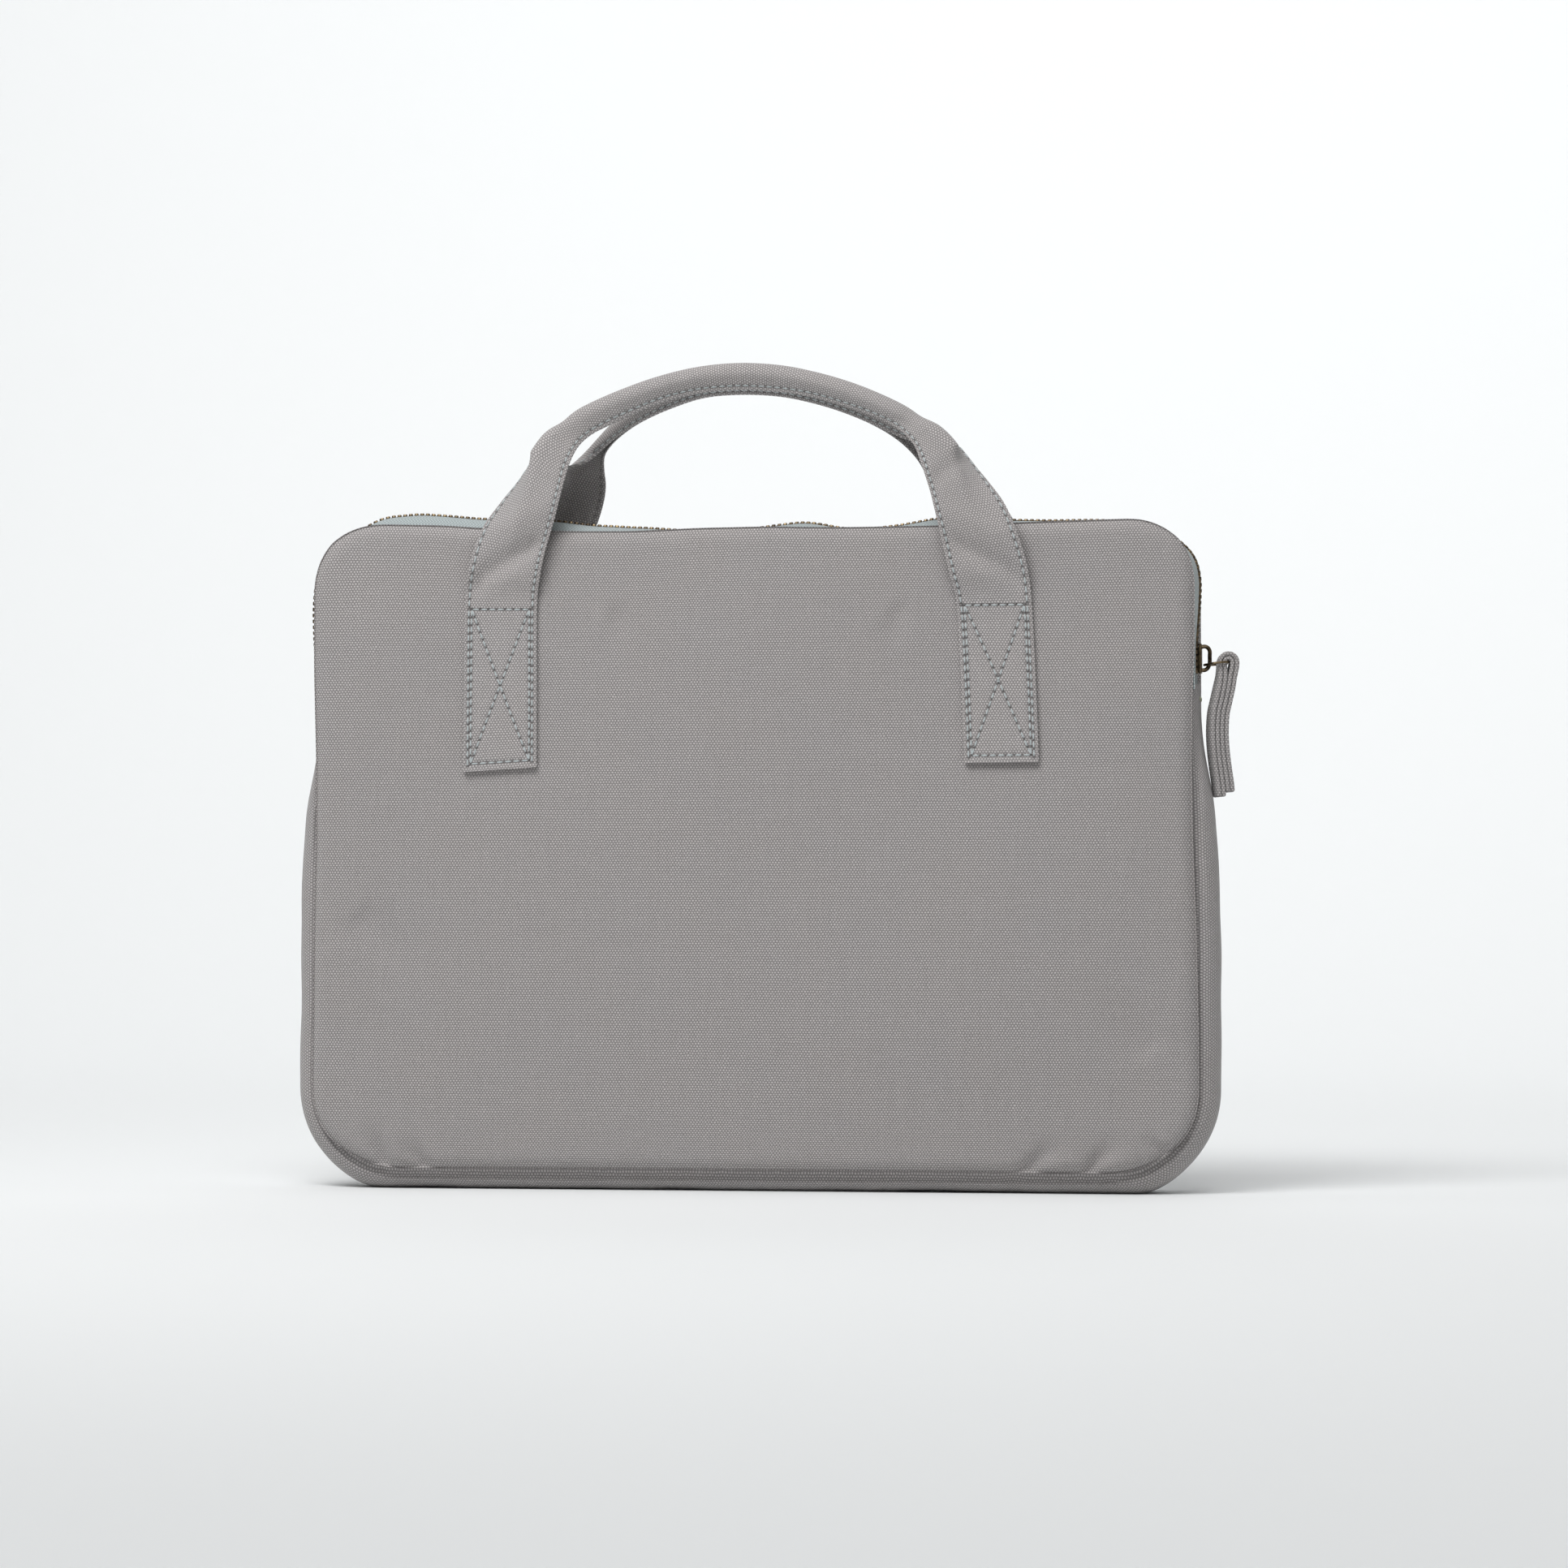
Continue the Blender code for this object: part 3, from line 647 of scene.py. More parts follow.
def panel_face(points, facing, creases):
    """Takes a swollen flat panel (x, height, depth with 0 outside) to its place, facing -1 front or 1 back."""
    x, z, inward = points[:, 0], points[:, 1], -points[:, 2]
    inset = inset_from_seam(x, z, *PANEL_OUTLINE)
    rolled = ROLL_DROP * (1 - np.sqrt(np.clip(1 - (1 - np.minimum(inset, ROLL) / ROLL) ** 2, 0, 1)))
    outside = smooth(1 - inward / (2 * MM))
    inward = inward + outside * (rolled + crease_depth(x, z, creases) * smooth(1 - rolled / ROLL_DROP))
    x, z = push_edges(x, z) if facing < 0 else (x, z)
    z = lift_base(z)
    return settle(np.stack([x, facing * (half_depth(z) - inward), z], axis=1))


def make_panel(side, facing, creases):
    pad = flat_panel(f"{side}_panel", -0.9 * MM, 90, 66)
    thicken(pad, WALL)
    x, z, height = points_of(pad).T
    by_the_seam = inset_from_seam(x, z, *PANEL_OUTLINE) < 5 * MM
    under_strap = (np.abs(np.abs(x) - 102 * MM) < 19 * MM) & (z > 0.168) & (z < 0.258)
    swell(pad, (height < -1 * MM) | by_the_seam | under_strap, 1.2 * MM)
    subdivide(pad, 1)
    put_points(pad, panel_face(points_of(pad), facing, creases))
    nodes = [f"{side}_{part}_{layer}" for layer in ("canvas", "foam") for part in ("panel", "lip")]
    hand_over(pad, panel_canvas, "canvas", *nodes)
    return pad


front_panel = make_panel("front", -1.0, FRONT_CREASES)
back_panel = make_panel("back", 1.0, BACK_CREASES)
print("panels made,", len(front_panel.data.polygons), "faces each")

# %% [markdown]
# ## At the fold line
#
# Above the fold line a panel, its tape and its teeth open outwards with the lip. No piece is bent there:
# bend_at_fold only writes a piece's place, turn and scale into its mesh.


def bend_at_fold(piece):
    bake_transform(piece)


bend_at_fold(front_panel)
bend_at_fold(back_panel)

# %% [markdown]
# ## The gusset
#
# The gusset is the padded strip round the sides and base. It bulges between its two seams, least at its
# upper ends, where it is folded under beside the zip, and it is flat where the sleeve's weight rests on it.


# %% The gusset's shape
# How far the gusset bulges at each height, in mm.
CROWN = np.array([(0, 8.8), (40, 8.8), (121, 8.8), (138, 8.0), (156, 6.5), (171, 3.9), (180, 2.3), (186, 1.6),
                  (194, 1.1), (210, 1.0)]) * MM


def gusset_crown(x, z, down):
    """How far the middle of the gusset stands out of the seam, where the outline faces this far down."""
    at_side = eased(z, *CROWN.T, 5 * MM)
    to_floor = z / np.maximum(down, 1e-3) + 0.3 * MM
    return -np.logaddexp(-at_side / MM, -to_floor / MM) * MM


# Where the gusset is pinched by its seam: the distance along it, the strength, and the width in mm.
PINCHES = [(0.2235, 0.8, 3.0), (0.262, 0.9, 3.5), (0.203, 0.6, 3.0), (0.545, 0.7, 3.5), (0.530, -0.4, 4.0)]


def wrap_gusset(points):
    """Takes the flat gusset (distance along, share across from -1 to 1, height) round the sleeve."""
    distance, across, height = points.T
    x, z, out_x, out_z = rim(distance, False)
    full = gusset_crown(x, z, -out_z)
    wavy = 0.35 * np.sin(distance / 0.0065) * np.sin(distance / 0.031 + 1.0) + 0.3 * np.sin(distance / 0.017)
    wavy = wavy * MM * 0.6 * smooth(full / (5 * MM))
    lift = 0.3 * MM * (0.5 - 0.5 * np.cos(2 * math.pi * (x + 0.02) / 0.19)) * smooth(x / 0.18 + 1)
    lift = lift * smooth(-out_z)
    for foot, pull, wide in PINCHES:
        wavy = wavy - pull * 1.6 * MM * np.exp(-(((distance - foot) / (wide * MM)) ** 2)) * across**2
    crown = full + wavy - lift
    profile = np.clip(1 - np.abs(across) ** 2.4, 0, 1) ** 0.8
    out = height + crown * profile - (3.2 * MM + 1.4 * MM * smooth(-out_z)) * (1 - profile)
    z_face = z + out_z * out
    reach = half_depth(z_face) - WALL - 0.2 * MM + 0.9 * MM * smooth(1 - full / (4 * MM))
    reach = reach + 2.4 * MM * smooth(out / (2.5 * MM))
    place = np.sign(across) * np.abs(across) ** 0.7
    return settle_gusset(np.stack([x + out_x * out, place * reach, z_face], axis=1))


def settle_gusset(points):
    settled = settle(points)
    settled[:, 2] = np.maximum(settled[:, 2], 0.0)
    return settled


def make_gusset():
    pad = cloth_cut("gusset", BASE - 8 * MM, 2 * GUSSET_HALF, 246, 14)
    flat = points_of(pad)
    flat[:, 0] += 4 * MM
    flat[:, 1] /= GUSSET_HALF
    put_points(pad, flat)
    thicken(pad, WALL - 0.8 * MM)
    subdivide(pad, 1, simple=True)
    put_points(pad, wrap_gusset(points_of(pad)))
    hand_over(pad, panel_canvas, "canvas", "gusset_canvas", "gusset_foam")
    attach(pad, "case")
    return pad


gusset = make_gusset()
print("gusset made,", len(gusset.data.polygons), "faces")

# %% [markdown]
# ## Linings and bindings
#
# Inside, each panel and the gusset are lined, and a tape binds the raw edges of each seam. They show when
# the mouth is open.


# %% Linings
def place_lining(points, facing):
    x, z, inward = points[:, 0], points[:, 1], -points[:, 2]
    return settle(np.stack([x, facing * (half_depth(z) - WALL - 0.3 * MM - inward), z], axis=1))


def make_lining(side, facing):
    sheet = flat_panel(f"{side}_lining", 5.6 * MM, 60, 44)
    thicken(sheet, LINING)
    put_points(sheet, place_lining(points_of(sheet), facing))
    hand_over(sheet, lining_cloth, "lining", f"{side}_panel_lining", f"{side}_lip_lining")
    bend_at_fold(sheet)
    return sheet


def wrap_inside(points, lift):
    """Takes a flat strip (distance, share across, height) round the inside of the base's rim."""
    distance, across, height = points.T
    x, z, out_x, out_z = rim(distance, False)
    out = height - lift
    reach = half_depth(z) - WALL - 1.2 * MM
    return settle(np.stack([x + out_x * out, across * reach, z + out_z * out], axis=1))


def make_gusset_lining():
    strip = cloth_cut("gusset_lining_strip", BASE, 2.0, 180, 4)
    thicken(strip, LINING)
    put_points(strip, wrap_inside(points_of(strip), 5.3 * MM))
    hand_over(strip, lining_cloth, "lining", "gusset_lining")
    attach(strip, "case")
    return strip


def make_binding(side, facing):
    strip = cloth_cut(f"{side}_binding", BASE, 6 * MM, 180, 3)
    thicken(strip, 1.0 * MM)
    subdivide(strip, 1)
    distance, across, height = points_of(strip).T
    x, z, out_x, out_z = rim(distance, False)
    out = -(9.4 * MM) + across
    z_face = z + out_z * out
    ripple = 0.25 * MM * np.sin(distance / (3.1 * MM))
    inward = WALL + 0.9 * MM - height + ripple
    spots = np.stack([x + out_x * out, facing * (half_depth(z_face) - inward), z_face], axis=1)
    put_points(strip, settle(spots))
    hand_over(strip, lining_cloth, "lining", f"{side}_seam_binding")
    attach(strip, "case")
    return strip


for side, facing in (("front", -1.0), ("back", 1.0)):
    make_lining(side, facing)
    make_binding(side, facing)
make_gusset_lining()
print("linings and bindings made")

# %% [markdown]
# ## The zip
#
# A metal zip has a brass tooth clamped to the tape's edge every 2.4 mm, and the teeth of the other tape
# stand in the gaps. The line of teeth isn't level: it rides high at the left of the top, sinks below the
# panel's edge near the middle, and lies low down the right side.

# %% Where the teeth run
TOOTH_STEP = 2.4 * MM
# How far the crest of the teeth stands out of the seam's outline, in mm, at distances in mm.
CREST = np.array([(0, 0.2), (13, 0.3), (20, 0.8), (28, 1.4), (35, 1.7), (40, 1.8), (47, 2.4), (52, 1.8),
                  (58, 0.8), (68, 0.6), (77, 1), (93, 2), (110, 2.3), (130, 3.4), (143, 4.4), (156, 5),
                  (163, 3.8), (170, 2.6), (180, 1.5), (188, 1.2), (195, 1.6), (203, 3.2), (210, 4),
                  (215, 3.4), (223, 2.3), (231, 1.3), (252, 0.7), (262, 1.6), (275, 3.1), (288, 4),
                  (296, 4.3), (312, 6.1), (330, 6.1), (344, 5.7), (356, 5.9), (370, 6.5), (384, 5),
                  (389, 3.2), (396, 1.6), (403, 1.6), (407, 3.4), (411, 4), (418, 4), (427, 4.6), (432, 5),
                  (442, 4.7), (450, 4.2), (461, 3.2)]) * MM


def crest(distance):
    """How far the teeth stand out of the seam's outline."""
    return eased(distance, *CREST.T, 3 * MM)


def wrap_teeth(points, facing):
    """Takes flat teeth (distance, place from the middle to the tape, height over the crest) round the mouth."""
    distance, across, height = points.T
    x, z, out_x, out_z = rim(distance, True)
    out = crest(distance) + height
    return settle(np.stack([x + out_x * out, facing * across, z + out_z * out], axis=1))


def wrap_tape(points, facing):
    """Takes a flat tape (distance, share across from the panel's edge to the teeth, height) round the mouth."""
    distance, across, height = points.T
    x, z, out_x, out_z = rim(distance, True)
    rise = crest(distance) - 1.3 * MM
    out = -1.0 * MM + (rise + 1.0 * MM) * np.sin(np.clip(across, 0, 1) * math.pi / 2) + height
    edge = half_depth(z) - 3.0 * MM
    depth = edge + (2.6 * MM - edge) * across
    return settle(np.stack([x + out_x * out, facing * depth, z + out_z * out], axis=1))


# %% Tapes
TAPE_WIDE = 12 * MM
TAPE_END = 6 * MM  # how far each end goes down past the mouth


def make_tape(side, facing):
    tape = cloth_cut(f"{side}_zip_tape", MOUTH + 2 * TAPE_END, TAPE_WIDE, 236, 6)
    flat = points_of(tape)
    flat[:, 0] -= TAPE_END
    flat[:, 1] = flat[:, 1] / TAPE_WIDE + 0.5
    flat[:, 2] = 0.3 * MM
    put_points(tape, flat)
    thicken(tape, 0.6 * MM)
    put_points(tape, wrap_tape(points_of(tape), facing))
    nodes = (f"{side}_lip_tape", f"{side}_tape_left_end", f"{side}_tape_right_end")
    hand_over(tape, tape_cloth, "zip_tape", *nodes)
    bend_at_fold(tape)
    return tape


for side, facing in (("front", -1.0), ("back", 1.0)):
    make_tape(side, facing)

# %% [markdown]
# One tooth is a small cast block: a foot that clamps the tape, a narrow neck, and a head with a nib. It is
# shaped once in edit mode by extruding a cube, bevelled, and repeated with an Array modifier.


# %% Blocks and rows
def add_block(name, size, centre):
    clear_selection()
    bpy.ops.mesh.primitive_cube_add(size=1)
    block = bpy.context.object
    block.name = name
    block.scale = size
    block.location = centre
    apply_place()
    return block


def soften(piece, width, segments):
    """Bevels a piece's sharp edges."""
    edges = piece.modifiers.new("soft edges", "BEVEL")
    edges.width = width
    edges.segments = segments
    edges.limit_method = "ANGLE"
    return apply_modifiers(piece)


def repeat_along(piece, count, step):
    """Makes a piece into a straight row of itself along x."""
    row = piece.modifiers.new("row", "ARRAY")
    row.count = count
    row.use_relative_offset = False
    row.use_constant_offset = True
    row.constant_offset_displace = (step, 0, 0)
    return apply_modifiers(piece)


# %% Teeth
def tooth(name):
    """One tooth, with x along the zip, y from the middle of the zip towards the tape, and z up to its crest."""
    centre = (TOOTH_STEP / 4, 0.1 * MM, -1.35 * MM)
    made = add_block(name, (1.2 * MM, 1.2 * MM, 1.5 * MM), centre)
    for reach, squeeze in ((0.7 * MM, 0.7), (0.3 * MM, 2.3), (1.6 * MM, 1.0)):
        bpy.ops.object.mode_set(mode="EDIT")
        bpy.ops.mesh.select_all(action="DESELECT")
        bpy.ops.object.mode_set(mode="OBJECT")
        outer = max(face.center.y for face in made.data.polygons)
        for face in made.data.polygons:
            face.select = face.center.y > outer - 1e-6
        bpy.ops.object.mode_set(mode="EDIT")
        bpy.ops.mesh.extrude_region_move(TRANSFORM_OT_translate={"value": (0, reach, 0)})
        bpy.ops.transform.resize(value=(1 + (squeeze - 1) * 0.3, 1, squeeze))
        bpy.ops.object.mode_set(mode="OBJECT")
    return soften(made, 0.22 * MM, 1)


def make_teeth(side, facing):
    row = tooth(f"{side}_zip_teeth")
    places = points_of(row)
    if facing > 0:
        places[:, 0] += TOOTH_STEP / 2
    places[:, 0] += 1.5 * MM
    put_points(row, places)
    repeat_along(row, int((MOUTH - 3 * MM) / TOOTH_STEP), TOOTH_STEP)
    put_points(row, wrap_teeth(points_of(row), facing))
    nodes = (f"{side}_lip_teeth", f"{side}_teeth_left_end", f"{side}_teeth_right_end")
    hand_over(row, aged_brass, "zip_metal", *nodes)
    bend_at_fold(row)
    return row


for side, facing in (("front", -1.0), ("back", 1.0)):
    teeth = make_teeth(side, facing)
print("teeth made,", len(teeth.data.polygons), "faces a row")

# %% [markdown]
# ## Stitches
#
# A stitch is a short bead of thread that dips into the cloth at both ends. One bead is shaped from a small
# sphere, and a row of them is an array on the flat cloth, which is then bent by the same function as the
# cloth under it.

# %% One row of stitches
STITCH_STEP = 3.4 * MM
STITCH_LONG = 2.6 * MM
STITCH_WIDE = 0.7 * MM


def stitch_row(start, end, length=STITCH_LONG, width=STITCH_WIDE):
    """A flat row of stitches from start to end, two (x, y) points, lying on z = 0."""
    clear_selection()
    bpy.ops.mesh.primitive_uv_sphere_add(segments=6, ring_count=5, radius=0.5)
    row = bpy.context.object
    row.rotation_euler = (0, math.pi / 2, 0)
    apply_place()
    span = math.dist(start, end)
    count = max(1, round(span / STITCH_STEP))
    row.scale = (length, width, 0.8 * width)
    row.location.x = span / count / 2
    apply_place()
    repeat_along(row, count, span / count)
    spots = points_of(row)
    way = np.array([end[0] - start[0], end[1] - start[1]]) / span
    flat = spots[:, :1] * way + spots[:, 1:2] * np.array([-way[1], way[0]])
    put_points(row, np.column_stack([flat + np.array(start), spots[:, 2] + 0.1 * width]))
    return row


# %% [markdown]
# ## The straps
#
# Each handle is one strap, 30 mm wide and two layers of canvas thick, sewn down at both ends. Between them
# it rises off the panel, its outer half folds back at the shoulder, and over the grip it is folded in half
# lengthwise, with its two edges sewn together underneath.
#
# A row of the route gives, in mm, the outer and the inner edge of the strap as seen from the front (x and z
# of each), how far the strap stands out from the sleeve's middle, with None where it lies on the panel, and
# how far it is folded lengthwise, from 0 flat to 1 folded in half.

# %% The straps' routes
STRAP_WIDE = 30 * MM
STRAP_THICK = 1.9 * MM
GRIP_ROUND = 3.6 * MM
FRONT_ROUTE = [
    (-119, 171.3, -88.3, 173.2, None, 0), (-118.9, 205, -88.5, 205, None, 0),
    (-118.7, 239.1, -88.6, 239.1, None, 0), (-117, 253.6, -87, 251.6, 17.3, 0),
    (-112, 271, -84.2, 263.6, 18.2, 0.08), (-105.4, 282.8, -80.9, 274.2, 18.2, 0.22),
    (-99.3, 291.4, -78.8, 283, 17.2, 0.34), (-93, 301.6, -76.6, 292.6, 15, 0.47),
    (-86.3, 311.2, -74.2, 300.8, 12.4, 0.66), (-77.8, 317.9, -70.6, 307, 10, 0.86),
    (-69.2, 322.9, -64.2, 312, 8.6, 0.96), (-56.5, 328.5, -52, 318, 7.5, 1),
    (-40.5, 334.1, -37, 324, 6.7, 1), (-23.5, 338, -22, 327.3, 6.2, 1), (-6, 339.4, -5.8, 328.3, 6, 1),
    (11, 338.2, 9.8, 327.3, 6, 1), (25.5, 335.2, 23.2, 325.1, 6.3, 1), (40, 330.8, 36.2, 321.3, 6.8, 1),
    (54, 325, 49, 316.6, 7.8, 0.98), (66, 318.8, 60, 311, 9.2, 0.9), (76.6, 312.6, 67, 303.8, 11.8, 0.7),
    (85.4, 303.8, 69.9, 297, 14.6, 0.5), (91.6, 296, 72.2, 290.6, 16.6, 0.36),
    (97.6, 288.6, 74.4, 283.6, 17.8, 0.2), (104.2, 279.4, 76.6, 274.6, 18.4, 0.07),
    (109.2, 268.2, 79.2, 263.4, 18.4, 0), (113.4, 254, 82, 251, 17.3, 0),
    (115.1, 239.1, 84.6, 239.1, None, 0), (116.8, 206.8, 86.5, 207, None, 0),
    (118.1, 174.2, 87.9, 174, None, 0),
]
BACK_ROUTE = [
    (-117.6, 173.8, -87.4, 173.8, None, 0), (-117, 206, -86.8, 206, None, 0),
    (-116, 239.1, -86, 239.1, None, 0), (-110.6, 256.8, -81.8, 248.2, 17.2, 0),
    (-104.2, 269.8, -76.4, 260.6, 17.9, 0.04), (-98, 281.2, -70.6, 273.6, 18, 0.16),
    (-91.4, 289.8, -67.2, 284, 17.4, 0.3), (-84.6, 296.6, -65.9, 291.6, 15.8, 0.45),
    (-78.4, 301.2, -66.2, 298, 13.6, 0.64), (-73, 305.8, -65.8, 303, 11.4, 0.8),
    (-67.6, 311.2, -63.6, 306.6, 9.6, 0.92), (-61.4, 317.2, -58.2, 311.6, 8.4, 0.98),
    (-52.4, 324.4, -49.4, 317.2, 7.4, 1), (-40, 331.2, -36.8, 322.6, 6.8, 1),
    (-24, 336.6, -22.4, 326.8, 6.2, 1), (-7, 338.2, -6.8, 327.8, 6, 1), (10, 337, 8.8, 326.8, 6, 1),
    (24.5, 334, 22.2, 324, 6.3, 1), (39, 329.4, 35, 320, 6.8, 1), (52.6, 323.6, 47.6, 314.6, 7.8, 0.98),
    (64.6, 317.2, 57.6, 308.4, 9.2, 0.9), (75, 311, 64.6, 301.6, 11.8, 0.7),
    (84, 302, 68.6, 295, 14.6, 0.5), (90.8, 294.6, 71.6, 289, 16.6, 0.36), (97, 287, 74.2, 282, 17.8, 0.2),
    (103.6, 278, 76.8, 273, 18.3, 0.07), (109, 267, 79.6, 262.4, 18.3, 0), (113, 253.6, 82.8, 251, 17.3, 0),
    (115.6, 239.1, 85.6, 239.1, None, 0), (117, 206, 86.8, 206, None, 0),
    (117.6, 173.8, 87.4, 173.8, None, 0),
]


def smooth_rows(rows, per_step=24):
    """A Catmull-Rom curve through rows of numbers."""
    ends = np.vstack([2 * rows[0] - rows[1], rows, 2 * rows[-1] - rows[-2]])
    t = np.linspace(0, 1, per_step, endpoint=False)[:, None]
    found = []
    for a, b, c, d in zip(ends, ends[1:], ends[2:], ends[3:]):
        found.append(0.5 * (2 * b + (c - a) * t + (2 * a - 5 * b + 4 * c - d) * t**2
                            + (3 * b - a - 3 * c + d) * t**3))
    return np.vstack([*found, rows[-1:]])


# %% [markdown]
# shape bends flat cloth into the strap. The cross-section is a front flap, a round fold and a back flap. The
# flaps start side by side in one line, and as the fold closes the back flap swings round behind the front
# one. Places on the flat cloth are the distance along the strap, the distance across it, positive towards
# the inside of the arch, and the height over the middle of the cloth.

# %% Bending a strap
def section(across, folded, span):
    """Heights over the inner edge, depths and turns of points across a strap folded this far."""
    turn = math.pi * folded
    half = (span - GRIP_ROUND * np.sin(np.minimum(turn, math.pi / 2))) / (1 + np.maximum(np.cos(turn), 0))
    half = half + turn * GRIP_ROUND / 2
    zone = turn * GRIP_ROUND
    reach = half - zone / 2
    place = across / (STRAP_WIDE / 2) * half
    front = np.clip(place - zone / 2, 0, None)
    back = np.clip(-place - zone / 2, 0, None)
    bend = turn * np.clip(0.5 - place / np.maximum(zone, 1e-9), 0, 1)
    up = reach - front + GRIP_ROUND * np.sin(bend) + back * np.cos(turn)
    forward = -GRIP_ROUND * (1 - np.cos(bend)) - back * np.sin(turn) + GRIP_ROUND * (1 - np.cos(turn)) / 2
    closing = (GRIP_ROUND - STRAP_THICK * 0.56) * folded**3
    forward = forward - closing * smooth(front / reach) + closing * smooth(back / reach)
    return up, forward, bend


class Strap:
    """A strap's route, measured along its length."""

    def __init__(self, route, facing):
        self.facing = facing
        rows = []
        for outer_x, outer_z, inner_x, inner_z, out, folded in route:
            flat_y = half_depth((outer_z + inner_z) / 2 * MM) / MM + 0.3 + STRAP_THICK / MM / 2
            rows.append((outer_x, outer_z, inner_x, inner_z, flat_y if out is None else out, folded))
        self.table = smooth_rows(np.array(rows, dtype=float))
        self.table[:, :5] *= MM
        middle = np.column_stack([(self.table[:, :2] + self.table[:, 2:4]) / 2, self.table[:, 4]])
        steps = np.linalg.norm(np.diff(middle, axis=0), axis=1)
        self.along = np.concatenate([[0.0], np.cumsum(steps)])
        self.length = self.along[-1]

    def at(self, distance):
        return [np.interp(distance, self.along, column) for column in self.table.T]

    def where_height(self, z, left):
        """The distance along the strap at which its middle first, or last, passes this height."""
        heights = (self.table[:, 1] + self.table[:, 3]) / 2
        order = np.arange(len(heights)) if left else np.arange(len(heights))[::-1]
        index = order[np.argmax(heights[order] >= z)]
        return float(self.along[index])

    def shape(self, points):
        """Bends flat points (distance along, across towards the arch's inside, height over the cloth)."""
        distance, across, height = points.T
        outer_x, outer_z, inner_x, inner_z, out, folded = self.at(distance)
        folded = np.clip(folded, 0, 1)
        span = np.hypot(outer_x - inner_x, outer_z - inner_z)
        up_x, up_z = (outer_x - inner_x) / span, (outer_z - inner_z) / span
        span = span - STRAP_THICK / 2 * np.sin(np.minimum(math.pi * folded, math.pi / 2))
        up, forward, bend = section(across, folded, span)
        up = up + height * np.sin(bend)
        forward = forward + height * np.cos(bend)
        y = self.facing * (out + forward)
        return settle_strap(np.stack([inner_x + up_x * up, y, inner_z + up_z * up], axis=1))


def settle_strap(points):
    """A strap moves with the panel behind it where it is sewn down, and not where it is free."""
    sewn = smooth((0.262 - points[:, 2]) / 0.03)[:, None]
    settled = settle(points)
    settled[:, 0] = points[:, 0]
    return settled * sewn + points * (1 - sewn)


front_strap = Strap(FRONT_ROUTE, -1.0)
back_strap = Strap(BACK_ROUTE, 1.0)
print("straps are", round(front_strap.length / MM), "and", round(back_strap.length / MM), "mm long")

# %% [markdown]
# Where thread is pulled tight it sinks into the canvas. So the strap's mesh is fine enough for a shallow
# groove along each row of stitches, with a deeper pit at every needle hole. Each row and needle hole is also
# darkened in colour with painted shade. The strap also sags in soft hollows where it lifts off the panel.

# %% Grooves and hollows
EDGE_ROW = 13.2 * MM
BOX_ROW = 12.0 * MM


def sewn_rows(strap, low, high):
    """Every row of stitches on a strap, as pairs of flat points: the free part, and each end."""
    free = [((low, edge), (high, edge)) for edge in (-EDGE_ROW, EDGE_ROW)]
    ends = []
    for foot, top in ((3 * MM, low - 0.8 * MM), (strap.length - 3 * MM, high + 0.8 * MM)):
        edge_foot = foot - math.copysign(1 * MM, top - foot)
        rows = [((foot, -BOX_ROW), (foot, BOX_ROW)), ((top, -BOX_ROW), (top, BOX_ROW)),
                ((foot, -BOX_ROW), (top, -BOX_ROW)), ((foot, BOX_ROW), (top, BOX_ROW)),
                ((foot, -BOX_ROW), (top, BOX_ROW)), ((foot, BOX_ROW), (top, -BOX_ROW))]
        ends.append(rows + [((edge_foot, edge), (top, edge)) for edge in (-EDGE_ROW, EDGE_ROW)])
    return free, ends


def groove(points, rows):
    """How far the cloth sinks along rows of stitches, and how much painted shade each point gets along the rows,
    most at a needle hole.
    """
    distance, across, height = points.T
    depth, painted_sewing_shade = np.zeros(len(points)), np.zeros(len(points))
    for (x0, y0), (x1, y1) in rows:
        span = math.hypot(x1 - x0, y1 - y0)
        way_x, way_y = (x1 - x0) / span, (y1 - y0) / span
        along = (distance - x0) * way_x + (across - y0) * way_y
        aside = -(distance - x0) * way_y + (across - y0) * way_x
        count = max(1, round(span / STITCH_STEP))
        hole = (0.5 + 0.5 * np.cos(2 * math.pi * along / (span / count))) ** 3
        inside = (along > -0.6 * MM) & (along < span + 0.6 * MM)
        narrow = np.exp(-((aside / (0.7 * MM)) ** 2))
        depth = np.maximum(depth, np.where(inside, narrow * (0.22 + 0.5 * hole), 0) * MM)
        # painted shade along each row of stitches, darkest at a needle hole
        painted_stitch_shade = np.exp(-((aside / (0.55 * MM)) ** 2)) * (0.25 + 0.75 * hole)
        painted_sewing_shade = np.maximum(painted_sewing_shade, np.where(inside, painted_stitch_shade, 0))
    return np.where(height > 0, height - depth, height + 0.4 * depth), painted_sewing_shade


def hollows(distance, across, strap):
    """How far the strap sags below its smooth shape, on the flat cloth."""
    depth = 0
    for middle, slant, amount, wide in strap.hollows:
        line = distance - middle - slant * across
        fade = smooth((17 * MM - np.abs(across)) / (9 * MM))
        depth = depth + amount * MM * np.exp(-((line / (wide * MM)) ** 2)) * fade
    return depth


# Each hollow: the distance along the strap, the slant, and the depth and width in mm.
front_strap.hollows = [(0.0865, 0.80, 2.6, 6.0), (0.104, 0.8, -0.9, 7.0), (0.146, -0.4, 1.0, 5.0),
                       (front_strap.length - 0.0835, -0.75, 2.3, 5.5),
                       (front_strap.length - 0.0985, -0.7, -0.8, 6.0),
                       (front_strap.length - 0.125, 0.4, 1.2, 4.5), (front_strap.length - 0.148, -0.4, 1.0, 5.0)]
back_strap.hollows = [(0.088, 0.70, 1.8, 6.0), (0.118, 0.4, -1.5, 7.0),
                      (back_strap.length - 0.0865, -0.70, 1.6, 6.0)]

# %% [markdown]
# A stretch of strap is a fine grid, thickened, with its cut edges rounded. Its stitches are laid out flat on
# the same rows as the grooves, sink by the same hollows, and go through the same bend.


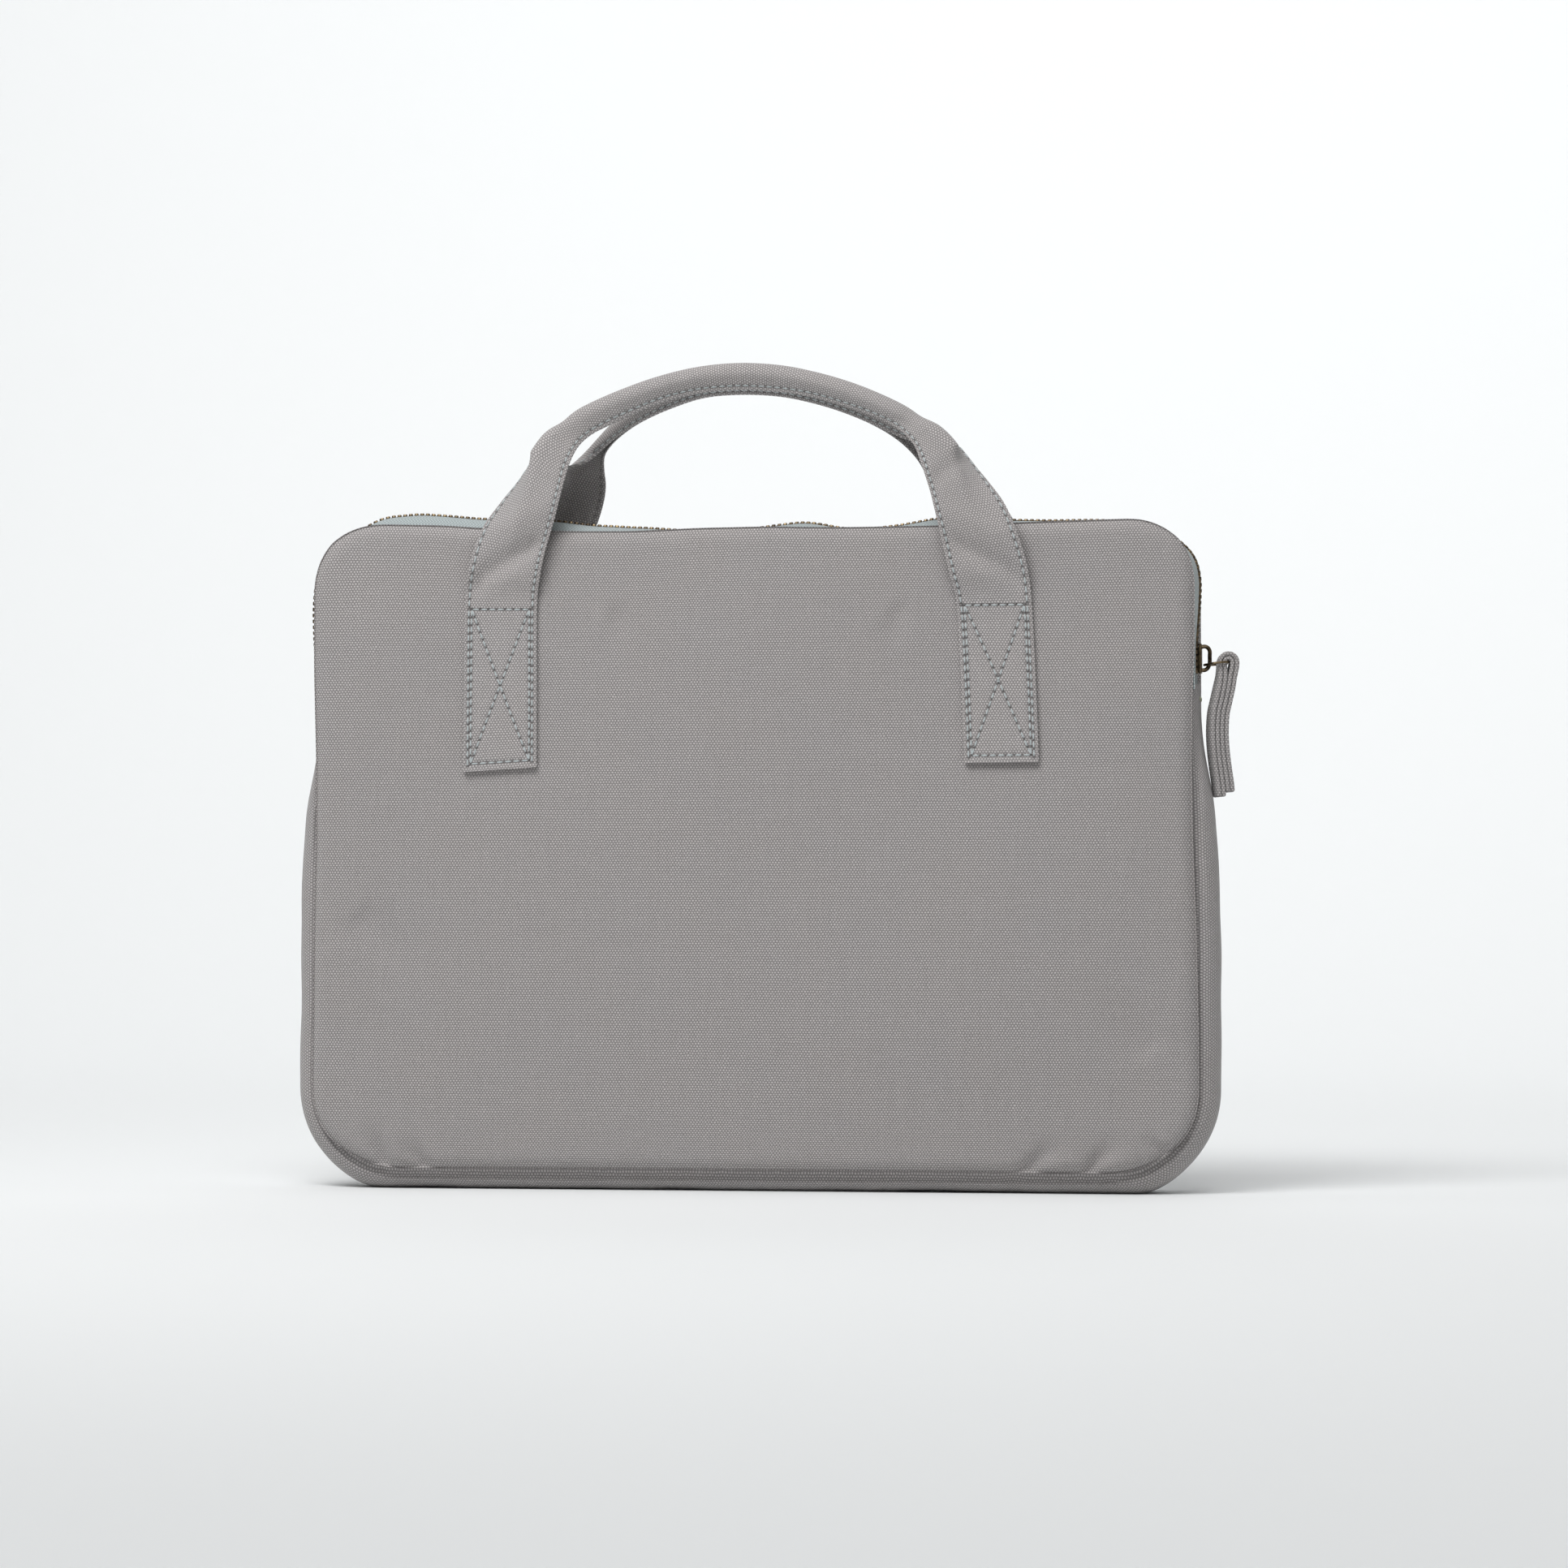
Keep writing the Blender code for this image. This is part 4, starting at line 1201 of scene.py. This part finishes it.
# %% Making the straps
def strap_piece(name, strap, start, end, rows, cell=0.7 * MM):
    piece = cloth_cut(name, end - start, STRAP_WIDE, round((end - start) / cell), round(STRAP_WIDE / cell))
    flat = points_of(piece)
    flat[:, 0] += start
    flat[:, 2] = STRAP_THICK / 2
    put_points(piece, flat)
    lay_threads(piece)
    thicken(piece, STRAP_THICK)
    flat = points_of(piece)
    rounding = np.clip(np.abs(flat[:, 1]) - (STRAP_WIDE / 2 - 0.9 * MM), 0, None) / (0.9 * MM)
    sunk, painted_sewing_shade = groove(flat, rows)
    flat[:, 2] = sunk * (1 - 0.45 * rounding**2) - hollows(flat[:, 0], flat[:, 1], strap)
    # The rows' painted shade goes to the strap's material as a point attribute.
    painted_pit_shade = piece.data.attributes.new("painted_pit_shade", "FLOAT", "POINT")
    painted_pit_shade.data.foreach_set("value", painted_sewing_shade)
    put_points(piece, strap.shape(flat))
    face_outwards(piece)
    return dress(piece, strap_canvas)


def strap_stitches(name, strap, rows):
    piece = join(name, [stitch_row(start, end) for start, end in rows])
    spots = points_of(piece)
    spots[:, 2] += STRAP_THICK / 2 - 0.12 * MM - hollows(spots[:, 0], spots[:, 1], strap)
    put_points(piece, strap.shape(spots))
    face_outwards(piece)
    return dress(piece, pale_thread)


def make_strap(side, strap):
    low, high = strap.where_height(FOLD_Z, True), strap.where_height(FOLD_Z, False)
    free, ends = sewn_rows(strap, low, high)
    handle = strap_piece(f"{side}_strap", strap, low, high, free)
    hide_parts(f"{side}_handle")
    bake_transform(handle)
    sewing = strap_stitches(f"{side}_strap_stitches", strap, free)
    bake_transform(sewing)
    for end, start, stop, rows in (("left", 0.0, low, ends[0]), ("right", high, strap.length, ends[1])):
        patch = strap_piece(f"{side}_sewn_end_{end}", strap, start, stop, rows)
        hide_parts(f"{side}_strap_{end}_end")
        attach(patch, "case")
        stitches = strap_stitches(f"{side}_box_{end}", strap, rows)
        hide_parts(f"{side}_box_stitch_{end}")
        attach(stitches, "case")
    return handle


front_handle = make_strap("front", front_strap)
make_strap("back", back_strap)
print("straps made,", len(front_handle.data.polygons), "faces in a handle")

# %% [markdown]
# ## The zip's ends, slider and pull
#
# The slider is two brass plates round the teeth with an arched bridge, through which a wire link holds the
# canvas pull. The pull is a strip folded in half lengthwise, and then over the link's far bar, so four
# layers show along its edge.


# %% Small brass pieces
def wire(name, route, radius, resolution, closed=False):
    """A round wire through these points, made a mesh."""
    clear_selection()
    bpy.ops.curve.primitive_bezier_curve_add()
    made = bpy.context.object
    made.name = name
    spline = made.data.splines[0]
    spline.bezier_points.add(len(route) - 2)
    spline.use_cyclic_u = closed
    for knot, point in zip(spline.bezier_points, route):
        knot.co = point
        knot.handle_left_type = knot.handle_right_type = "AUTO"
    made.data.bevel_depth = radius
    made.data.bevel_resolution = 3
    made.data.resolution_u = made.data.render_resolution_u = resolution
    made.data.use_fill_caps = not closed
    only(made)
    bpy.ops.object.convert(target="MESH")
    return bpy.context.object


def brass_block(name, size, centre, bevel):
    return soften(add_block(name, size, centre), bevel, 3)


def make_stop(node, name, settle_out):
    low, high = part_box(node)
    size = tuple(high[axis] - low[axis] for axis in range(3))
    centre = tuple((high[axis] + low[axis]) / 2 for axis in range(3))
    stop = brass_block(name, size, (centre[0] + settle_out, centre[1], centre[2]), 0.5 * MM)
    hand_over(stop, aged_brass, "zip_metal", node)
    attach(stop, "case")


make_stop("zip_bottom_stop", "bottom_stop", -1.6 * MM)
make_stop("zip_top_stop_front", "top_stop_front", 0.2 * MM)
make_stop("zip_top_stop_back", "top_stop_back", 0.2 * MM)

# %% The slider
slider_low, slider_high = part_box("slider_body")
SAG = Vector((0, 0, -1.5 * MM))
slider_low, slider_high = slider_low + SAG, slider_high + SAG + Vector((0, 0, 1 * MM))


def make_slider():
    """Two shield-shaped plates, the wedge between them, and the arched bridge."""
    middle_z = (slider_low.z + slider_high.z) / 2
    tall = slider_high.z - slider_low.z
    plate = 1.2 * MM
    teeth_outer = HALF_WIDTH + 1.9 * MM
    blocks = []
    for x in (slider_low.x + plate / 2, teeth_outer + plate / 2):
        shield = brass_block("shield", (plate, 8.6 * MM, tall), (x, 0, middle_z), 0.35 * MM)
        spots = points_of(shield)
        up = (spots[:, 2] - middle_z) / (tall / 2)
        spots[:, 1] *= 0.80 + 0.20 * smooth((up + 1) / 1.6) - 0.10 * smooth((up - 0.6) / 0.4)
        put_points(shield, spots)
        blocks.append(shield)
    thickness = teeth_outer - slider_low.x
    centre = (slider_low.x + thickness / 2, 0, middle_z)
    blocks.append(brass_block("wedge", (thickness, 0.5 * MM, tall * 0.8), centre, 0.1 * MM))
    face = teeth_outer + plate
    top, foot = slider_high.z, slider_low.z
    route = [(face - 0.6 * MM, 0, top - 1.3 * MM), (face + 1.6 * MM, 0, top - 1.2 * MM),
             (face + 2.9 * MM, 0, top - 2.4 * MM), (face + 3.1 * MM, 0, top - 5.0 * MM),
             (face + 2.7 * MM, 0, foot + 2.9 * MM), (face + 1.5 * MM, 0, foot + 1.5 * MM),
             (face - 0.6 * MM, 0, foot + 1.3 * MM)]
    bridge = wire("bridge", route, 0.85 * MM, 6)
    spots = points_of(bridge)
    spots[:, 1] *= 1.45
    put_points(bridge, spots)
    slider = join("zip_slider", [*blocks, bridge])
    hand_over(slider, aged_brass, "zip_metal", "slider_body")
    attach(slider, "zip_slider")


make_slider()

# %% The wire link
LINK_RISE = math.radians(6)
link_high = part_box("pull_link")[1]
link_pivot = Vector((HALF_WIDTH + 4.2 * MM, 0, slider_low.z + 3.4 * MM))
far_bar = link_pivot + Vector((math.cos(LINK_RISE), 0, math.sin(LINK_RISE))) * 9.4 * MM
print("the pull hangs from", [round(value / MM, 1) for value in far_bar])


def make_link():
    half = (link_high.y - 0.5 * MM) / MM
    flat = [(0.0, -1.1), (0.0, 1.1), (1.2, 2.6), (3.6, half), (8.6, half), (9.4, half - 0.9),
            (9.4, 0.9 - half), (8.6, -half), (3.6, -half), (1.2, -2.6)]
    route = [link_pivot + Vector((u * math.cos(LINK_RISE), v, u * math.sin(LINK_RISE))) * MM for u, v in flat]
    link = wire("wire_link", route, 0.48 * MM, 5, closed=True)
    hand_over(link, aged_brass, "zip_metal", "pull_link")
    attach(link, "pull_link")


make_link()

# %% [markdown]
# The pull hangs in a slight S and is turned a little about its own length, so one broad face shows beside
# the four layers of its edge. Each double layer is one strip that goes up, round the bar and down again.

# %% The canvas pull
PULL_LAYER = 1.85 * MM
PULL_WIDE = 10 * MM
PULL_TWIST = math.radians(17)
# How far sideways the pull hangs, and how far down, in mm.
PULL_DROPS = np.array([(0.0, 0.0), (-0.4, 3.3), (-1.4, 8.9), (-3.0, 16.0), (-4.1, 21.0), (-4.5, 28.0),
                       (-4.2, 35.0), (-3.4, 42.0), (-2.4, 49.0), (-1.5, 57.5)])


def bend_pull(points, at_bar, below):
    """Takes a flat strip (distance from the top of the loop, across, height) down one side or the other."""
    distance, across, height = points.T
    side = np.sign(distance) + (distance == 0)
    quarter = math.pi / 2 * at_bar
    turned = np.clip(np.abs(distance) / quarter, 0, 1) * math.pi / 2
    down = np.clip(np.abs(distance) - quarter, 0, None)
    radius = at_bar + (below - at_bar) * smooth(down / (7 * MM)) + height
    line = smooth_rows(PULL_DROPS, 12) * MM
    steps = np.concatenate([[0.0], np.cumsum(np.linalg.norm(np.diff(line, axis=0), axis=1))])
    line_x, line_z = np.interp(down, steps, line[:, 0]), -np.interp(down, steps, line[:, 1])
    before, after = np.clip(down - MM, 0, None), down + MM
    slope_x = np.interp(after, steps, line[:, 0]) - np.interp(before, steps, line[:, 0])
    slope_z = np.interp(after, steps, line[:, 1]) - np.interp(before, steps, line[:, 1])
    size = np.hypot(slope_x, slope_z) + 1e-12
    local_x = np.where(down > 0, line_x + side * radius * slope_z / size, side * radius * np.sin(turned))
    local_z = np.where(down > 0, line_z + side * radius * slope_x / size, radius * np.cos(turned))
    twist = PULL_TWIST * (0.35 + 0.65 * smooth((0.004 - local_z) / 0.016))
    x = local_x * np.cos(twist) - across * np.sin(twist)
    y = local_x * np.sin(twist) + across * np.cos(twist)
    return np.stack([far_bar.x + x, far_bar.y + y, far_bar.z + local_z], axis=1)


def pull_strip(name, at_bar, below, left_end, right_end):
    """One layer of the pull, from its left end over the bar to its right end."""
    strip = cloth_cut(name, left_end + right_end, PULL_WIDE, 60, 5)
    flat = points_of(strip)
    flat[:, 0] -= left_end
    flat[:, 2] = PULL_LAYER / 2
    put_points(strip, flat)
    thicken(strip, PULL_LAYER)
    subdivide(strip, 2)
    put_points(strip, bend_pull(points_of(strip), at_bar, below))
    return strip


def make_pull():
    half = PULL_LAYER / 2
    inner = pull_strip("pull_inner_layer", half + 0.6 * MM, half + 0.02 * MM, 57.5 * MM, 56 * MM)
    outer = pull_strip("pull_outer_layer", 3 * half + 0.65 * MM, 3 * half + 0.05 * MM, 60.5 * MM, 59 * MM)
    pull = join("canvas_pull", [outer, inner])
    hand_over(pull, pull_canvas, "canvas", "fabric_pull")
    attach(pull, "pull_tab")


make_pull()

# %% [markdown]
# ## Bar tacks
#
# A bar tack is a dense row of thread across the gusset's folded end. It is a row of short stitches side by
# side.


# %% Bar tacks
def make_tack(name, side):
    low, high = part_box(name)
    rows = []
    for step in range(16):
        y = (step - 7.5) * 0.72 * MM
        rows.append(stitch_row((-0.8 * MM, y), (0.8 * MM, y + 0.3 * MM), length=1.7 * MM, width=0.62 * MM))
    tack = join(f"{name}_thread", rows)
    spots = points_of(tack)
    distance = (ZIP_END - (low.z + high.z) / 2) - spots[:, 0]
    distance = distance if side > 0 else BASE - distance
    across, height = spots[:, 1] / GUSSET_HALF, spots[:, 2] + 0.1 * MM
    put_points(tack, wrap_gusset(np.stack([distance, across, height], axis=1)))
    hand_over(tack, tack_thread, "thread", name)
    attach(tack, "case")


make_tack("bar_tack_left", -1)
make_tack("bar_tack_right", 1)

# %% [markdown]
# ## The studio
#
# The sleeve stands on a pale paper sweep: a floor that curves up into a backdrop. A soft light hangs close,
# high in front and a little to the left. A broad one behind it evens out the floor, and a third lights the
# backdrop.

# %% Floor, lights and camera
def make_studio():
    """A sheet of paper whose far end curves up, and a pale surrounding light."""
    clear_selection()
    bpy.ops.mesh.primitive_grid_add(x_subdivisions=4, y_subdivisions=90, size=1)
    paper_sweep = bpy.context.object
    paper_sweep.name = "studio_sweep"
    flat = points_of(paper_sweep)
    along = (flat[:, 1] + 0.5) * 11.0 - 4.0
    bend_from, bend_round = 1.2, 1.6
    turned = np.clip((along - bend_from) / bend_round, 0, math.pi / 2)
    risen = np.clip(along - bend_from - bend_round * math.pi / 2, 0, None)
    y = np.minimum(along, bend_from) + bend_round * np.sin(turned)
    z = bend_round * (1 - np.cos(turned)) + risen
    put_points(paper_sweep, np.stack([flat[:, 0] * 12, y, z], axis=1))
    bpy.ops.object.shade_smooth()
    paper = bpy.data.materials.new("studio_paper")
    paper.use_nodes = True
    shader = paper.node_tree.nodes["Principled BSDF"]
    shader.inputs["Base Color"].default_value = (0.875, 0.89, 0.895, 1.0)
    shader.inputs["Roughness"].default_value = 0.95
    shader.inputs["Specular IOR Level"].default_value = 0.1
    paper_sweep.data.materials.append(paper)
    world = bpy.data.worlds.new("studio_world")
    bpy.context.scene.world = world
    world.use_nodes = True
    backdrop = world.node_tree.nodes["Background"]
    backdrop.inputs["Color"].default_value = (0.99, 0.99, 0.985, 1.0)
    backdrop.inputs["Strength"].default_value = 0.22


def soft_light(name, place, aim, size, power, spread=180):
    """A rectangular area light, aimed at a point. spread is how wide its beam is, in degrees."""
    clear_selection()
    bpy.ops.object.light_add(type="AREA", location=place)
    light = bpy.context.object
    light.name = name
    light.data.shape = "RECTANGLE"
    light.data.size, light.data.size_y = size
    light.data.energy = power
    light.data.spread = math.radians(spread)
    light.rotation_euler = (Vector(aim) - Vector(place)).to_track_quat("-Z", "Y").to_euler()


make_studio()
soft_light("high_front_light", (-0.28, -0.62, 0.98), (-0.03, 0, 0.32), (0.6, 0.35), 2.0, spread=125)
soft_light("floor_light", (-0.3, -1.6, 2.4), (0, 0, 0), (2.4, 1.6), 44)
soft_light("backdrop_light", (0, 0.6, 3.4), (0, 3.2, 1.0), (4.5, 1.5), 53, spread=130)

CAMERA_TURN = math.radians(8)
CAMERA_AWAY = 1.8
CAMERA_HEIGHT = 0.115
SENSOR = 36
VIEW_WIDTH = 0.644  # how much the picture takes in at the sleeve
AIM = Vector((0.0118, 0.0, 0.1663))
camera_x, camera_y = AIM.x + CAMERA_AWAY * math.sin(CAMERA_TURN), -CAMERA_AWAY * math.cos(CAMERA_TURN)
bpy.ops.object.camera_add(location=(camera_x, camera_y, CAMERA_HEIGHT))
camera = bpy.context.object
camera.rotation_euler = (AIM - camera.location).to_track_quat("-Z", "Y").to_euler()
camera.data.sensor_width = SENSOR
camera.data.lens = SENSOR / (VIEW_WIDTH / CAMERA_AWAY)
camera.data.clip_start = 0.05
bpy.context.scene.camera = camera
bpy.context.scene.view_settings.view_transform = "Standard"
